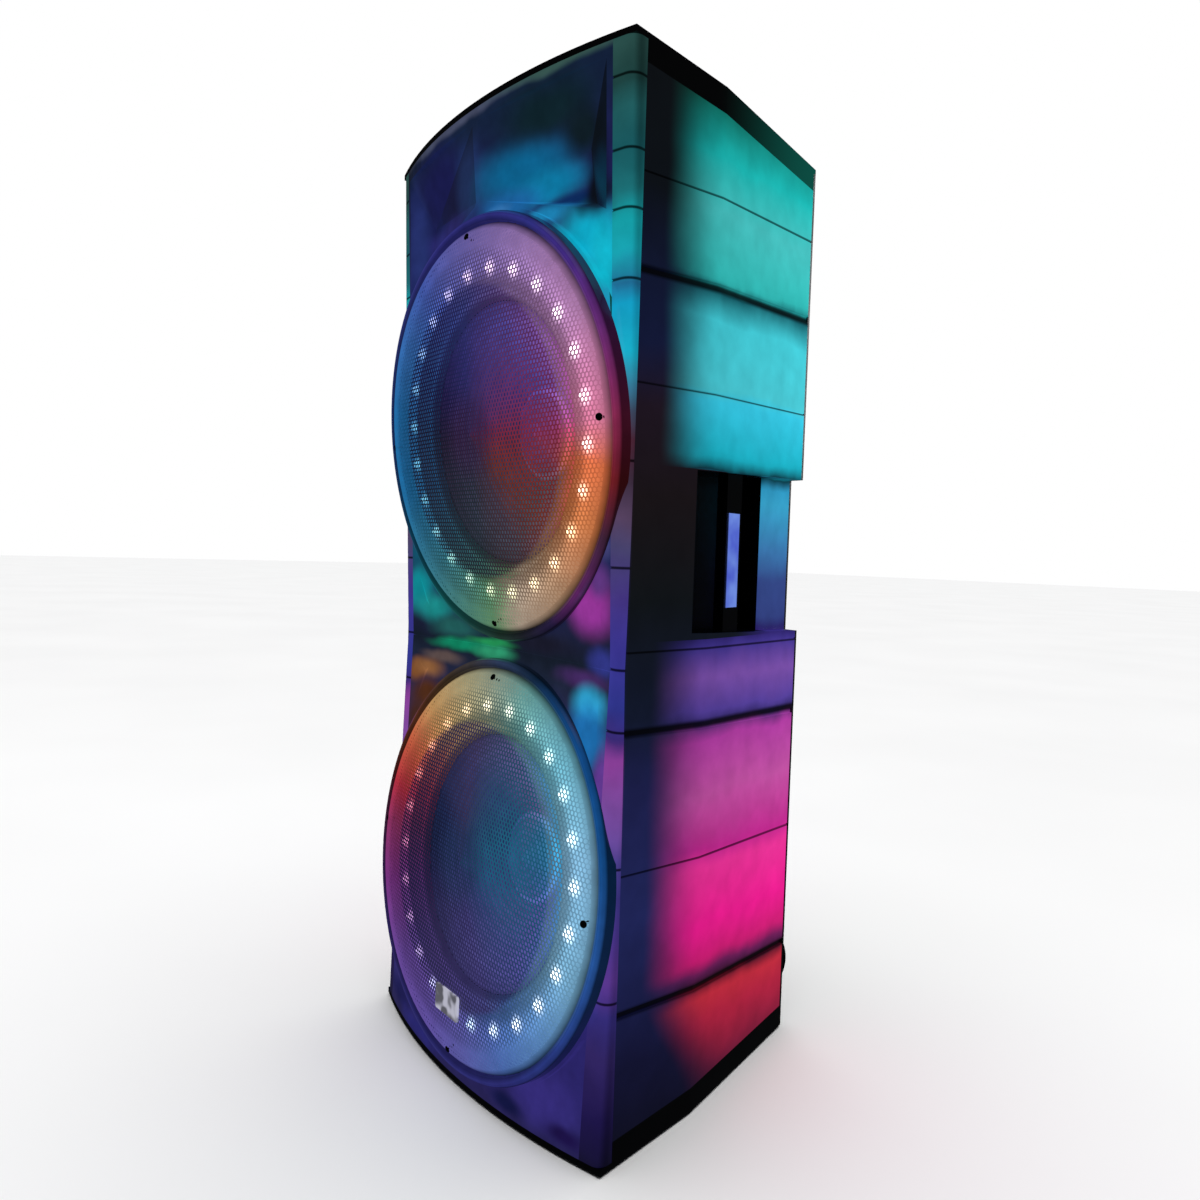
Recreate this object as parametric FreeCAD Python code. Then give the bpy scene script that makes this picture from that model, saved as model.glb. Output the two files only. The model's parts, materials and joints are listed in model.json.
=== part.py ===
# Floor-standing party speaker: a tapered cabinet with light-guide side panels, a faceted front and
# two 15-inch woofers behind domed round grilles. Millimetres. +X to the right, +Y to the back, +Z up.
# The origin is on the floor, under the middle of the whole object.
import FreeCAD, Part
import math
import os

V = FreeCAD.Vector

# ---- cabinet ----
HEIGHT = 1050.0             # floor to top
FRONT_WIDTH = 447.0         # across the two front corners
FRONT_CORNER_Y = -169.5     # depth position of the front corners at the top and the bottom
REAR_Y = FRONT_CORNER_Y + 360.0
TAPER_BREAK_BACK = 139.0    # how far behind the corner the side turns inwards more steeply
TAPER_AT_BREAK = 24.0       # how far the side has come in there
TAPER_AT_REAR = 91.0        # how far the side has come in at the back
FRONT_BOW = 33.0            # the front's middle stands this far ahead of its corners, top and bottom
VALLEY_Z = 474.5            # the front folds inwards along this line between the woofers
VALLEY_CORNER_BACK = 8.0    # how far the corners go back at the fold
VALLEY_CENTRE_BACK = 63.0   # how far the middle goes back at the fold
FOOT_DROP = 3.0             # rubber showing under the cabinet
PLATE = 6.0                 # thickness of the top and bottom plates
SKIRT = 20.0                # the top and bottom covers come this far along the sides
SIDE_WALL = 4.0             # light-guide side panels
FRONT_WALL = 6.0            # fascia and corner trims
REAR_WALL = 5.0
TRIM_INNER_X = 199.0        # the corner trims start here
TRIM_BACK = 16.0            # and end this far behind the front corner
CORNER_ROUND = 12.0
SEAM = 0.3                  # line between neighbouring mouldings
FAR = 320.0                 # beyond the cabinet in plan

# ---- woofer rings, measured along each ring's own tilted axis, forward positive ----
RING_TILT = 6.5             # degrees, each ring faces a little towards the fold
RING_Y = FRONT_CORNER_Y - 5.5
UPPER_RING_Z = 709.0
LOWER_RING_Z = 2 * VALLEY_Z - UPPER_RING_Z
BEZEL_R = 226.0
BEZEL_INNER_R = 212.8
BEZEL_BACK = -10.5
BEZEL_LIP = 5.0
GRILLE_R = 214.8
GRILLE_RISE = 22.0
SHOULDER_R = 200.0          # the grille's dome turns down outside this circle
SHOULDER = 9.0
GRILLE_SHEET = 1.2
GRILLE_SCREW_R = 205.0      # the circle of screws near the grille's edge
SCREWS_PER_GRILLE = 4
LIGHT_BOARD_FRONT = -3.0
LIGHT_BOARD = 3.0
COLLAR_R = 157.2            # inside of the stepped collar around the cone
COLLAR_WALL = 3.0
SEAT_BACK = BEZEL_BACK - 6.0   # back of the flat seat that the fascia has behind each bezel
LED_COUNT = 24
LED_CIRCLE_R = 172.0
LED_R = 3.5
FRAME_R = 192.0             # woofer frame
FRAME_FRONT = -20.7
BOLT_CIRCLE_R = 184.0
BOLT_COUNT = 8
BOLT_R = 2.5
FRAME_FLANGE = 6.0
BOARD_THICK = 15.0
BOARD_HOLE_R = 176.0
CONE_R = 139.6
CONE_FRONT = -19.5
CONE_NECK_R = 38.4
CONE_NECK = -88.0
CONE_WALL = 1.2
SURROUND_R = 148.5
SURROUND_ROLL = 8.2
DUST_CAP_R = 54.0
DUST_CAP_RISE = 17.0
FORMER_R = 38.0
FORMER_WALL = 0.6
FORMER_BACK = -137.0
SPIDER = -104.0
MAGNET_R = 92.0
FRAME_BACK = -122.0
TOP_PLATE = 8.0
MAGNET = 25.0
BACK_PLATE = 9.0

# ---- side handles and rear fittings ----
CUP_FRONT_Y = FRONT_CORNER_Y + 112.3
CUP_BACK_Y = FRONT_CORNER_Y + 284.3
CUP_DEPTH = 48.0
CUP_WALL = 3.0
COLUMN_DEPTH = 17.0         # the panel steps in by this much behind the cup
GRIP_Y = (FRONT_CORNER_Y + 183.3, FRONT_CORNER_Y + 216.3)
GRIP_DEPTH = (8.0, 22.0)
GRIP_LIGHT_Z = (531.0, 632.0)
GRIP_LIGHT_MARGIN = 5.0
INNER_SET_IN = 26.0         # gap between the light-guide sides and the sealed box
INNER_WALL = 10.0
WHEEL_R = 36.0
WHEEL_WIDE = 24.0
WHEEL_GAP = (3.0, 5.0)      # space beside and around each wheel in its well
WHEEL_Z = 80.0
WHEEL_X = 111.0
WHEEL_BACK = 20.0           # how far the wheels stand out behind
AXLE_R = 5.0
PANEL_X = 84.0              # half width of the control panel
PANEL_Z = (610.0, 890.0)
PANEL_THICK = 3.0
KNOB_R = 10.0
KNOB_Z = 850.0
KNOB_PITCH = 48.0
BUTTON_R = 6.5
BUTTON_Z = 730.0
BUTTON_PITCH = 32.0
ROCKER_R = 11.0
ROCKER_X = 42.0
ROCKER_Z = 650.0
ROCKER_TILT = 10.0
INLET_X = -36.0
INLET_Z = 650.0
JACK_R = 3.2
JACK_Z = 690.0
SCREW_R = 3.6
SCREW_HEAD = 1.4
SCREW_SLOT = (2.0, 0.4)     # half length and half width of each arm of the cross slot
SCREW_SHANK_R = 1.5
SCREW_LENGTH = 9.0
GRILLE_SCREW_SEAT = 8.85    # height of the grille's skin under its screws
GRILLE_SCREW_LEAN = 23.6    # degrees, the slope of the skin there

KNOB_LENGTH = 13.0
KNOB_FLUTES = 12
FLUTE_R = 1.4
POINTER = (3.0, 9.0, 0.6, 1.0)   # inner end, outer end, half width and depth of a knob's pointer line
KNOB_SHAFT_R = 3.0
KNOB_SHAFT = 14.0
BUTTON_LIFT = 2.8           # how far a button stands out of the panel
BUTTON_FLANGE = (2.0, 1.6)  # width and thickness of the rim that keeps a button in
BUTTON_TRAVEL = 2.2
ROCKER_WIDE = 13.0
ROCKER_AXIS = 8.0           # behind the panel's face
ROCKER_FACE = 8.6           # the rocker's faces, in front of its axis
JACK_X = (-62.0, -36.0)
JACK_SLEEVE = (5.4, 26.0)   # radius and length
JACK_NUT = (8.0, 2.0)
JACK_DEEP = 21.0
WINDOW_HALF = (34.0, 17.0)  # half width and half height of the display opening
WINDOW_Z = 789.0
WINDOW_FLANGE = 3.0
FIT = 0.2                   # clearance between parts that fit in each other
PANEL_ROUND = 8.0

AMPLIFIER_Y = REAR_Y - 46.0
AMPLIFIER_HALF_X = 70.0
AMPLIFIER_MARGIN = 14.0     # between the board's ends and the panel's
HEAT_SINK = (50.0, 690.0, 780.0)      # half width, bottom and top
HEAT_SINK_BACK = 8.0
FIN = (3.0, 9, 26.0)        # thickness, spacing and length
TRANSFORMER = (-56.0, -16.0, 40.0, 790.0, 840.0)   # left, right, depth, bottom, top
POST = (3.0, 64.0, 8.0)     # radius, half spacing, and distance in from the board's ends
LIGHT_BAR_Y = (60.0, 74.0)
LIGHT_BAR_THICK = 4.0
BOX_GAP = 6.0               # between the sealed box and the end covers' skirts

# facets of the crown: across, behind the front corner, and height
RIDGE_X = 0.2
CROWN_TOP_Z = 1031.0
CROWN = {
    "ridge_top": (RIDGE_X, -32.0, CROWN_TOP_Z),
    "ridge_low": (RIDGE_X, -24.0, 952.0),
    "rim_top": (192.0, -8.0, CROWN_TOP_Z),
    "rim_low": (192.0, -3.0, 898.0),
    "deep_top": (152.0, 8.0, 967.0),
    "deep_low": (164.0, 6.0, 913.0),
}
SPANDREL_X = (96.0, 195.0)  # the tip and the rim of each corner dimple
SPANDREL_DEEP = (176.0, 17.0)
CUT_AHEAD = 90.0            # cutters start this far ahead of the front corners

INLET_HALF = (14.3, 10.3)   # half width and half height of the inlet's body
INLET_RECESS_HALF = (12.0, 8.0)
INLET_FLANGE_HALF = (19.0, 14.0)
INLET_PINS = ((-7.0, -2.0), (0.0, 2.5), (7.0, -2.0))
BATTERY = (152.0, 98.0, 96.0)   # width, depth, height
BATTERY_Y = 20.0
FOOT_PLACES = ((150.0, -130.0), (95.0, 110.0))
BADGE = (48.0, 28.0, 2.2)   # width, height, thickness
BADGE_DOWN = 152.0          # below the middle of the lower grille

# seams in the side panels: height at the front, height at the back, width, depth
SIDE_SEAMS = [
    (928.0, 964.0, 1.6, 1.2),
    (842.0, 873.0, 6.0, 2.4),
    (741.0, 760.0, 1.6, 1.2),
    (494.0, 489.0, 1.6, 1.2),
    (419.0, 400.0, 6.0, 2.4),
    (285.0, 259.0, 1.6, 1.2),
    (152.0, 111.0, 7.0, 2.4),
]
TRIM_SEAM_Z = [1011.0, 947.0, 895.0, 833.0, 670.0, 572.0, 477.0, 419.0, 291.0, 164.0]
RECESS_FRONT_Z = (512.0, 666.0)   # handle recess, bottom and top, at the front corner
RECESS_REAR_Z = (498.0, 681.0)    # and at the back of the side

BODY_BOTTOM = FOOT_DROP + PLATE
BODY_TOP = HEIGHT - PLATE
TRIM_REAR_Y = FRONT_CORNER_Y + TRIM_BACK
BREAK_Y = FRONT_CORNER_Y + TAPER_BREAK_BACK
WHEEL_Y = REAR_Y + WHEEL_BACK - WHEEL_R
PANEL_FRONT = REAR_Y + PANEL_THICK


# ---- basic shapes ----
def box(x0, x1, y0, y1, z0, z1):
    return Part.makeBox(x1 - x0, y1 - y0, z1 - z0, V(x0, y0, z0))


def both_sides(shape):
    """The shape and its mirror image across the middle plane."""
    return Part.makeCompound([shape, shape.mirror(V(0, 0, 0), V(1, 0, 0))])


def mirrored(shape):
    return shape.mirror(V(0, 0, 0), V(1, 0, 0))


def cylinder_y(radius, length, x, y, z):
    """A cylinder that starts at y and runs towards the back."""
    return Part.makeCylinder(radius, length, V(x, y, z), V(0, 1, 0))


def cylinder_x(radius, length, x, y, z):
    return Part.makeCylinder(radius, length, V(x, y, z), V(1, 0, 0))


def revolved(profile):
    """A closed outline of (radius, height) pairs turned about the Z axis."""
    points = [V(r, 0, h) for r, h in profile]
    face = Part.Face(Part.makePolygon(points + [points[0]]))
    return face.revolve(V(0, 0, 0), V(0, 0, 1), 360)


def ring(inner_r, outer_r, back, front):
    return revolved([(inner_r, back), (outer_r, back), (outer_r, front), (inner_r, front)])


def polyhedron(corners, faces):
    """A closed solid from named corners and the corner names of each flat face."""
    made = []
    for names in faces:
        loop = [corners[n] for n in names]
        made.append(Part.Face(Part.makePolygon(loop + [loop[0]])))
    return Part.Solid(Part.Shell(made))


# ---- the cabinet's outer form ----
def side_x(y, set_in):
    """Half the width at depth y of an outline set in from the sides."""
    corner = FRONT_WIDTH / 2
    front_slope = TAPER_AT_BREAK / TAPER_BREAK_BACK
    rear_slope = (TAPER_AT_REAR - TAPER_AT_BREAK) / (REAR_Y - BREAK_Y)
    front_x = corner - front_slope * (y - FRONT_CORNER_Y) - set_in * math.hypot(1, front_slope)
    break_x = corner - TAPER_AT_BREAK
    rear_x = break_x - rear_slope * (y - BREAK_Y) - set_in * math.hypot(1, rear_slope)
    return min(front_x, rear_x)


def outline(set_in, z0, z1, y0=-FAR, y1=REAR_Y):
    """The tapered plan, set in from the sides, between two depths and two heights."""
    front_slope = TAPER_AT_BREAK / TAPER_BREAK_BACK
    rear_slope = (TAPER_AT_REAR - TAPER_AT_BREAK) / (REAR_Y - BREAK_Y)
    stretch = math.hypot(1, rear_slope) - math.hypot(1, front_slope)
    turn_y = BREAK_Y - set_in * stretch / (rear_slope - front_slope)
    stops = [y0] + ([turn_y] if y0 < turn_y < y1 else []) + [y1]
    right = [V(side_x(y, set_in), y, z0) for y in stops]
    left = [V(-p.x, p.y, z0) for p in reversed(right)]
    face = Part.Face(Part.makePolygon(right + left + [right[0]]))
    return face.extrude(V(0, 0, z1 - z0))


def bow_wire(z, corner_y, centre_y):
    """A closed wire at height z whose front edge is bowed through the corners and the middle."""
    half = FRONT_WIDTH / 2
    wide = half + 30.0
    end_y = centre_y + (corner_y - centre_y) * (wide / half) ** 2
    left, right = V(-wide, end_y, z), V(wide, end_y, z)
    back_right, back_left = V(wide, FAR, z), V(-wide, FAR, z)
    bow = Part.Arc(left, V(0, centre_y, z), right).toShape()
    sides = [
        Part.makeLine(right, back_right),
        Part.makeLine(back_right, back_left),
        Part.makeLine(back_left, left),
    ]
    return Part.Wire([bow] + sides)


def front_block(push):
    """Everything behind the folded, bowed front surface, moved back by push."""
    top = bow_wire(HEIGHT, FRONT_CORNER_Y, FRONT_CORNER_Y - FRONT_BOW)
    corner_y = FRONT_CORNER_Y + VALLEY_CORNER_BACK
    centre_y = FRONT_CORNER_Y - FRONT_BOW + VALLEY_CENTRE_BACK
    fold = bow_wire(VALLEY_Z, corner_y, centre_y)
    bottom = bow_wire(FOOT_DROP, FRONT_CORNER_Y, FRONT_CORNER_Y - FRONT_BOW)
    upper = Part.makeLoft([fold, top], True, True)
    lower = Part.makeLoft([bottom, fold], True, True)
    block = upper.fuse(lower)
    block.translate(V(0, push, 0))
    return block


def recess_prism(y0, y1, grow=0.0):
    """The handle recess seen from the side, between two depths, grown up and down."""
    def height(y, front_z, rear_z):
        return front_z + (rear_z - front_z) * (y - FRONT_CORNER_Y) / (REAR_Y - FRONT_CORNER_Y)

    def bottom(y):
        return height(y, RECESS_FRONT_Z[0], RECESS_REAR_Z[0]) - grow

    def top(y):
        return height(y, RECESS_FRONT_Z[1], RECESS_REAR_Z[1]) + grow

    points = [V(0, y0, bottom(y0)), V(0, y1, bottom(y1)), V(0, y1, top(y1)), V(0, y0, top(y0))]
    return Part.Face(Part.makePolygon(points + [points[0]])).extrude(V(FAR, 0, 0))


def seam_slab(front_z, rear_z, width):
    """A slanting slab through both sides, level across the cabinet."""
    y0, y1 = FRONT_CORNER_Y, REAR_Y
    points = [
        V(-FAR, y0, front_z - width / 2),
        V(-FAR, y1, rear_z - width / 2),
        V(-FAR, y1, rear_z + width / 2),
        V(-FAR, y0, front_z + width / 2),
    ]
    return Part.Face(Part.makePolygon(points + [points[0]])).extrude(V(2 * FAR, 0, 0))


# ---- placing things on the tilted rings ----
def on_ring(shape, level):
    """Moves a shape built on the Z axis onto the upper (+1) or the lower (-1) ring."""
    shape.rotate(V(0, 0, 0), V(1, 0, 0), 90 + level * RING_TILT)
    shape.translate(V(0, RING_Y, UPPER_RING_Z if level > 0 else LOWER_RING_Z))
    return shape


def around(shape, count, start=0.0):
    """Copies of a shape turned about the Z axis."""
    copies = []
    for i in range(count):
        copy = shape.copy()
        copy.rotate(V(0, 0, 0), V(0, 0, 1), start + 360.0 * i / count)
        copies.append(copy)
    return Part.makeCompound(copies)


# ---- front mouldings ----
def crown_facets():
    """Cutter for the gem-cut hollow in the top of the front, right half."""
    ahead = FRONT_CORNER_Y - CUT_AHEAD
    corners = {name: V(x, FRONT_CORNER_Y + back, z) for name, (x, back, z) in CROWN.items()}
    for name in ("ridge_top", "ridge_low", "rim_top", "rim_low"):
        spot = corners[name]
        corners["ahead_" + name] = V(spot.x, ahead, spot.z)
    faces = [
        ("ridge_top", "ridge_low", "deep_top"),
        ("ridge_low", "deep_low", "deep_top"),
        ("ridge_top", "deep_top", "rim_top"),
        ("rim_top", "deep_top", "deep_low"),
        ("rim_top", "deep_low", "rim_low"),
        ("ridge_low", "rim_low", "deep_low"),
        ("ahead_ridge_top", "ahead_rim_top", "ahead_rim_low"),
        ("ahead_ridge_top", "ahead_rim_low", "ahead_ridge_low"),
        ("ridge_top", "ahead_ridge_top", "ahead_ridge_low", "ridge_low"),
        ("rim_top", "rim_low", "ahead_rim_low", "ahead_rim_top"),
        ("ridge_top", "rim_top", "ahead_rim_top"),
        ("ridge_top", "ahead_rim_top", "ahead_ridge_top"),
        ("ridge_low", "ahead_ridge_low", "ahead_rim_low"),
        ("ridge_low", "ahead_rim_low", "rim_low"),
    ]
    return polyhedron(corners, faces)


def spandrel_facet(tip_z, rim_z, deep_z):
    """Cutter for a three-sided dimple between a ring and the fold, right half."""
    ahead = FRONT_CORNER_Y - CUT_AHEAD
    at_tip, at_rim = V(SPANDREL_X[0], 0, tip_z), V(SPANDREL_X[1], 0, rim_z)
    at_edge = V(SPANDREL_X[1], 0, tip_z)
    front = FRONT_CORNER_Y + 1.0
    corners = {
        "tip": V(at_tip.x, front + 4, at_tip.z),
        "rim": V(at_rim.x, front, at_rim.z),
        "edge": V(at_edge.x, front + 2, at_edge.z),
        "deep": V(SPANDREL_DEEP[0], front + SPANDREL_DEEP[1], deep_z),
        "ahead_tip": V(at_tip.x, ahead, at_tip.z),
        "ahead_rim": V(at_rim.x, ahead, at_rim.z),
        "ahead_edge": V(at_edge.x, ahead, at_edge.z),
    }
    faces = [
        ("tip", "rim", "deep"),
        ("rim", "edge", "deep"),
        ("edge", "tip", "deep"),
        ("ahead_tip", "ahead_rim", "ahead_edge"),
        ("tip", "ahead_tip", "rim"),
        ("rim", "ahead_tip", "ahead_rim"),
        ("rim", "ahead_rim", "edge"),
        ("edge", "ahead_rim", "ahead_edge"),
        ("edge", "ahead_edge", "tip"),
        ("tip", "ahead_edge", "ahead_tip"),
    ]
    return polyhedron(corners, faces)


def front_cutters():
    """All the facets of the front."""
    right = [
        crown_facets(),
        spandrel_facet(VALLEY_Z + 5, 604.0, 520.0),
        spandrel_facet(VALLEY_Z - 5, 345.0, 430.0),
    ]
    return right + [mirrored(c) for c in right]


def faceted_front(push):
    """Everything behind the faceted front, moved back by push."""
    body = front_block(0)
    for cutter in front_cutters():
        body = body.cut(cutter)
    body.translate(V(0, push, 0))
    return body


def ring_seat(body):
    """Flat seat and low collar around one bezel, under the skin of the front."""
    collar_r = BEZEL_R + SEAM
    seats = []
    for level in (1, -1):
        flat = ring(COLLAR_R + COLLAR_WALL + SEAM, collar_r + FRONT_WALL / 2, SEAT_BACK, BEZEL_BACK)
        collar = ring(collar_r, collar_r + FRONT_WALL / 2, SEAT_BACK - FRONT_WALL, BEZEL_LIP)
        seats.append(on_ring(flat, level))
        seats.append(on_ring(collar, level).common(body))
    return seats


def fascias():
    """The two faceted front mouldings, which meet at the fold."""
    body = faceted_front(0)
    sheet = body.cut(faceted_front(FRONT_WALL))
    for level in (1, -1):
        opening = Part.makeCylinder(BEZEL_R + SEAM + FRONT_WALL / 2, 120, V(0, 0, -90))
        sheet = sheet.cut(on_ring(opening, level))
    inner_x = TRIM_INNER_X - SEAM
    sheet = sheet.fuse(ring_seat(body))
    sheet = sheet.common(box(-inner_x, inner_x, -FAR, 0, BODY_BOTTOM, BODY_TOP))
    upper = sheet.common(box(-FAR, FAR, -FAR, FAR, VALLEY_Z + SEAM / 2, HEIGHT))
    lower = sheet.common(box(-FAR, FAR, -FAR, FAR, 0, VALLEY_Z - SEAM / 2))
    return upper.removeSplitter(), lower.removeSplitter()


def corner_trims():
    """Rounded strips down the front corners, lapped by the bezels."""
    body = front_block(0).common(outline(0, BODY_BOTTOM, BODY_TOP))
    corner_edges = [
        e
        for e in body.Edges
        if e.Length > 300 and abs(e.CenterOfMass.x) > 215 and e.CenterOfMass.y < TRIM_REAR_Y
    ]
    body = body.makeFillet(CORNER_ROUND, corner_edges)
    body = body.cut(front_block(FRONT_WALL).common(outline(SIDE_WALL + 2, 0, HEIGHT)))
    for z in TRIM_SEAM_Z:
        groove = box(-FAR, FAR, -FAR, TRIM_REAR_Y, z - 0.7, z + 0.7)
        skin = front_block(1.0).common(outline(1.0, 0, HEIGHT))
        body = body.cut(groove.cut(skin))
    for level in (1, -1):
        seat = Part.makeCylinder(BEZEL_R + SEAM, 60, V(0, 0, BEZEL_BACK))
        body = body.cut(on_ring(seat, level))
    right = body.common(box(TRIM_INNER_X, FAR, -FAR, TRIM_REAR_Y, BODY_BOTTOM, BODY_TOP))
    return mirrored(right), right


# ---- side, top, bottom and rear covers ----
def side_panels():
    """Light-guide panels with slanting seams and a stepped-in column behind the handle."""
    z0, z1 = BODY_BOTTOM + SKIRT, BODY_TOP - SKIRT
    front_y, rear_y = TRIM_REAR_Y + SEAM, REAR_Y - REAR_WALL
    half = box(0, FAR, front_y, rear_y, z0, z1)
    skin = outline(0, z0, z1).cut(outline(SIDE_WALL, z0, z1)).common(half)
    for front_z, rear_z, width, depth in SIDE_SEAMS:
        groove = seam_slab(front_z, rear_z, width).cut(outline(depth, 0, HEIGHT))
        skin = skin.cut(groove)
    skin = skin.cut(recess_prism(CUP_FRONT_Y, REAR_Y))
    stepped = outline(COLUMN_DEPTH, z0, z1).cut(outline(COLUMN_DEPTH + SIDE_WALL, z0, z1))
    column = stepped.common(recess_prism(CUP_BACK_Y, REAR_Y, SIDE_WALL)).common(half)
    frame = outline(0, z0, z1).cut(outline(COLUMN_DEPTH + SIDE_WALL, z0, z1))
    ledges = frame.common(recess_prism(CUP_BACK_Y, REAR_Y, SIDE_WALL)).common(half)
    ledges = ledges.cut(recess_prism(CUP_BACK_Y, REAR_Y))
    right = skin.fuse([column, ledges]).removeSplitter()
    return mirrored(right), right


def end_cover(plate_z, skirt_z):
    """A black end plate with a skirt along both sides: heights of the plate and of the skirt."""
    plate = front_block(0).common(outline(0, plate_z[0], plate_z[1]))
    rim = outline(0, skirt_z[0], skirt_z[1]).cut(outline(SIDE_WALL, skirt_z[0], skirt_z[1]))
    rim = rim.common(box(-FAR, FAR, TRIM_REAR_Y + SEAM, REAR_Y - REAR_WALL, 0, HEIGHT))
    return plate.fuse(rim).removeSplitter()


def wheel_hole(grow):
    """The space of the right wheel, grown by a wall all round."""
    wide = WHEEL_WIDE / 2 + WHEEL_GAP[0] + grow
    tall = WHEEL_R + WHEEL_GAP[1] + grow
    return box(
        WHEEL_X - wide, WHEEL_X + wide, WHEEL_Y - tall, FAR, WHEEL_Z - tall, WHEEL_Z + tall
    )


def rear_panel():
    """Flat back with the control opening, the wheel openings and the handle steps."""
    panel = outline(0, BODY_BOTTOM, BODY_TOP, REAR_Y - REAR_WALL)
    step = recess_prism(CUP_BACK_Y, FAR).cut(outline(COLUMN_DEPTH, 0, HEIGHT, -FAR, FAR))
    lip = 8.0
    opening = box(-PANEL_X + lip, PANEL_X - lip, 0, FAR, PANEL_Z[0] + lip, PANEL_Z[1] - lip)
    cutters = [both_sides(step), both_sides(wheel_hole(CUP_WALL)), opening]
    for cutter in cutters:
        panel = panel.cut(cutter)
    for x, z in rear_screw_places():
        panel = panel.cut(cylinder_y(1.7, FAR, x, 0, z))
    return panel


def rear_screw_places():
    places = []
    for z in (150.0, 420.0, 750.0, 1020.0):
        places += [(-118.0, z), (118.0, z)]
    return places


# ---- handles ----
def handle_cup():
    """Right cup behind the side panel, with a moulded bar to grip across it."""
    outer = recess_prism(CUP_FRONT_Y - CUP_WALL, CUP_BACK_Y + CUP_WALL, CUP_WALL)
    outer = outer.cut(outline(CUP_DEPTH + CUP_WALL, 0, HEIGHT))
    hollow = recess_prism(CUP_FRONT_Y, CUP_BACK_Y).cut(outline(CUP_DEPTH, 0, HEIGHT))
    rim = outer.common(outline(SIDE_WALL, 0, HEIGHT)).cut(hollow)
    rim = rim.cut(recess_prism(CUP_BACK_Y, REAR_Y, CUP_WALL + SIDE_WALL).cut(
        outline(COLUMN_DEPTH + SIDE_WALL, 0, HEIGHT)))
    band = outline(GRIP_DEPTH[0], 0, HEIGHT).cut(outline(GRIP_DEPTH[1], 0, HEIGHT))
    bar = band.common(recess_prism(GRIP_Y[0], GRIP_Y[1], 1.0))
    return rim.fuse(bar.cut(grip_light())).removeSplitter()


def grip_light():
    """Lit insert in the outer face of the right grip bar."""
    y0, y1 = GRIP_Y[0] + GRIP_LIGHT_MARGIN, GRIP_Y[1] - GRIP_LIGHT_MARGIN
    band = outline(GRIP_DEPTH[0] - 1, 0, HEIGHT).cut(outline(GRIP_DEPTH[0] + 3, 0, HEIGHT))
    return band.common(box(0, FAR, y0, y1, GRIP_LIGHT_Z[0], GRIP_LIGHT_Z[1]))


# ---- sealed box that carries the woofers ----
def boards(thick):
    """Both tilted boards, this thick, with their front faces behind the woofer frames."""
    halves = []
    for level in (1, -1):
        front = FRAME_FRONT - FRAME_FLANGE
        board = on_ring(Part.makeBox(440, 700, thick, V(-220, -350, front - thick)), level)
        z_range = (VALLEY_Z, HEIGHT) if level > 0 else (0, VALLEY_Z)
        halves.append(board.common(box(-FAR, FAR, -FAR, FAR, z_range[0], z_range[1])))
    return halves[0].fuse(halves[1])


def inner_box():
    z0, z1 = BODY_BOTTOM + SKIRT + BOX_GAP, BODY_TOP - SKIRT - BOX_GAP
    outer = outline(INNER_SET_IN, z0, z1, y1=REAR_Y - REAR_WALL)
    inner = outline(INNER_SET_IN + INNER_WALL, z0 + INNER_WALL, z1 - INNER_WALL)
    shell = outer.cut(inner).common(boards(2 * FAR)).cut(boards(BOARD_THICK))
    shell = shell.common(faceted_front(FRONT_WALL + 1))
    cup = recess_prism(CUP_FRONT_Y - CUP_WALL, REAR_Y, CUP_WALL + SIDE_WALL)
    cup = cup.cut(outline(CUP_DEPTH + CUP_WALL, 0, HEIGHT))
    for cutter in (both_sides(cup), both_sides(wheel_hole(CUP_WALL))):
        shell = shell.cut(cutter)
    return shell.removeSplitter()


def baffle():
    """Two tilted boards joined at the fold, one hole for each woofer."""
    made = boards(BOARD_THICK)
    for level in (1, -1):
        hole = Part.makeCylinder(BOARD_HOLE_R, 120, V(0, 0, -100))
        made = made.cut(on_ring(hole, level))
        pilot = Part.makeCylinder(BOLT_R, 120, V(BOLT_CIRCLE_R, 0, -100))
        made = made.cut(on_ring(around(pilot, BOLT_COUNT, 180 / BOLT_COUNT), level))
    z0, z1 = BODY_BOTTOM + SKIRT + BOX_GAP, BODY_TOP - SKIRT - BOX_GAP
    made = made.common(outline(INNER_SET_IN - 8, z0, z1)).common(faceted_front(FRONT_WALL + 1))
    return made.removeSplitter()


# ---- one ring: bezel, grille, lights and woofer, all built on the Z axis ----
def bezel():
    lip_r = GRILLE_R + 0.6
    return revolved(
        [
            (BEZEL_R, BEZEL_BACK),
            (BEZEL_R, -1),
            (BEZEL_R - 2.5, BEZEL_LIP - 1.5),
            (BEZEL_R - 6, BEZEL_LIP),
            (lip_r + 1, BEZEL_LIP - 1.5),
            (lip_r, -1.5),
            (lip_r, -2.5),
            (BEZEL_INNER_R, -2.5),
            (BEZEL_INNER_R, BEZEL_BACK),
        ]
    )


def at_grille_edge(shape):
    """Moves a shape on the Z axis to a grille screw's seat, leaning with the skin."""
    shape.rotate(V(0, 0, 0), V(0, 1, 0), GRILLE_SCREW_LEAN)
    shape.translate(V(GRILLE_SCREW_R, 0, GRILLE_SCREW_SEAT))
    return shape


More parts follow.
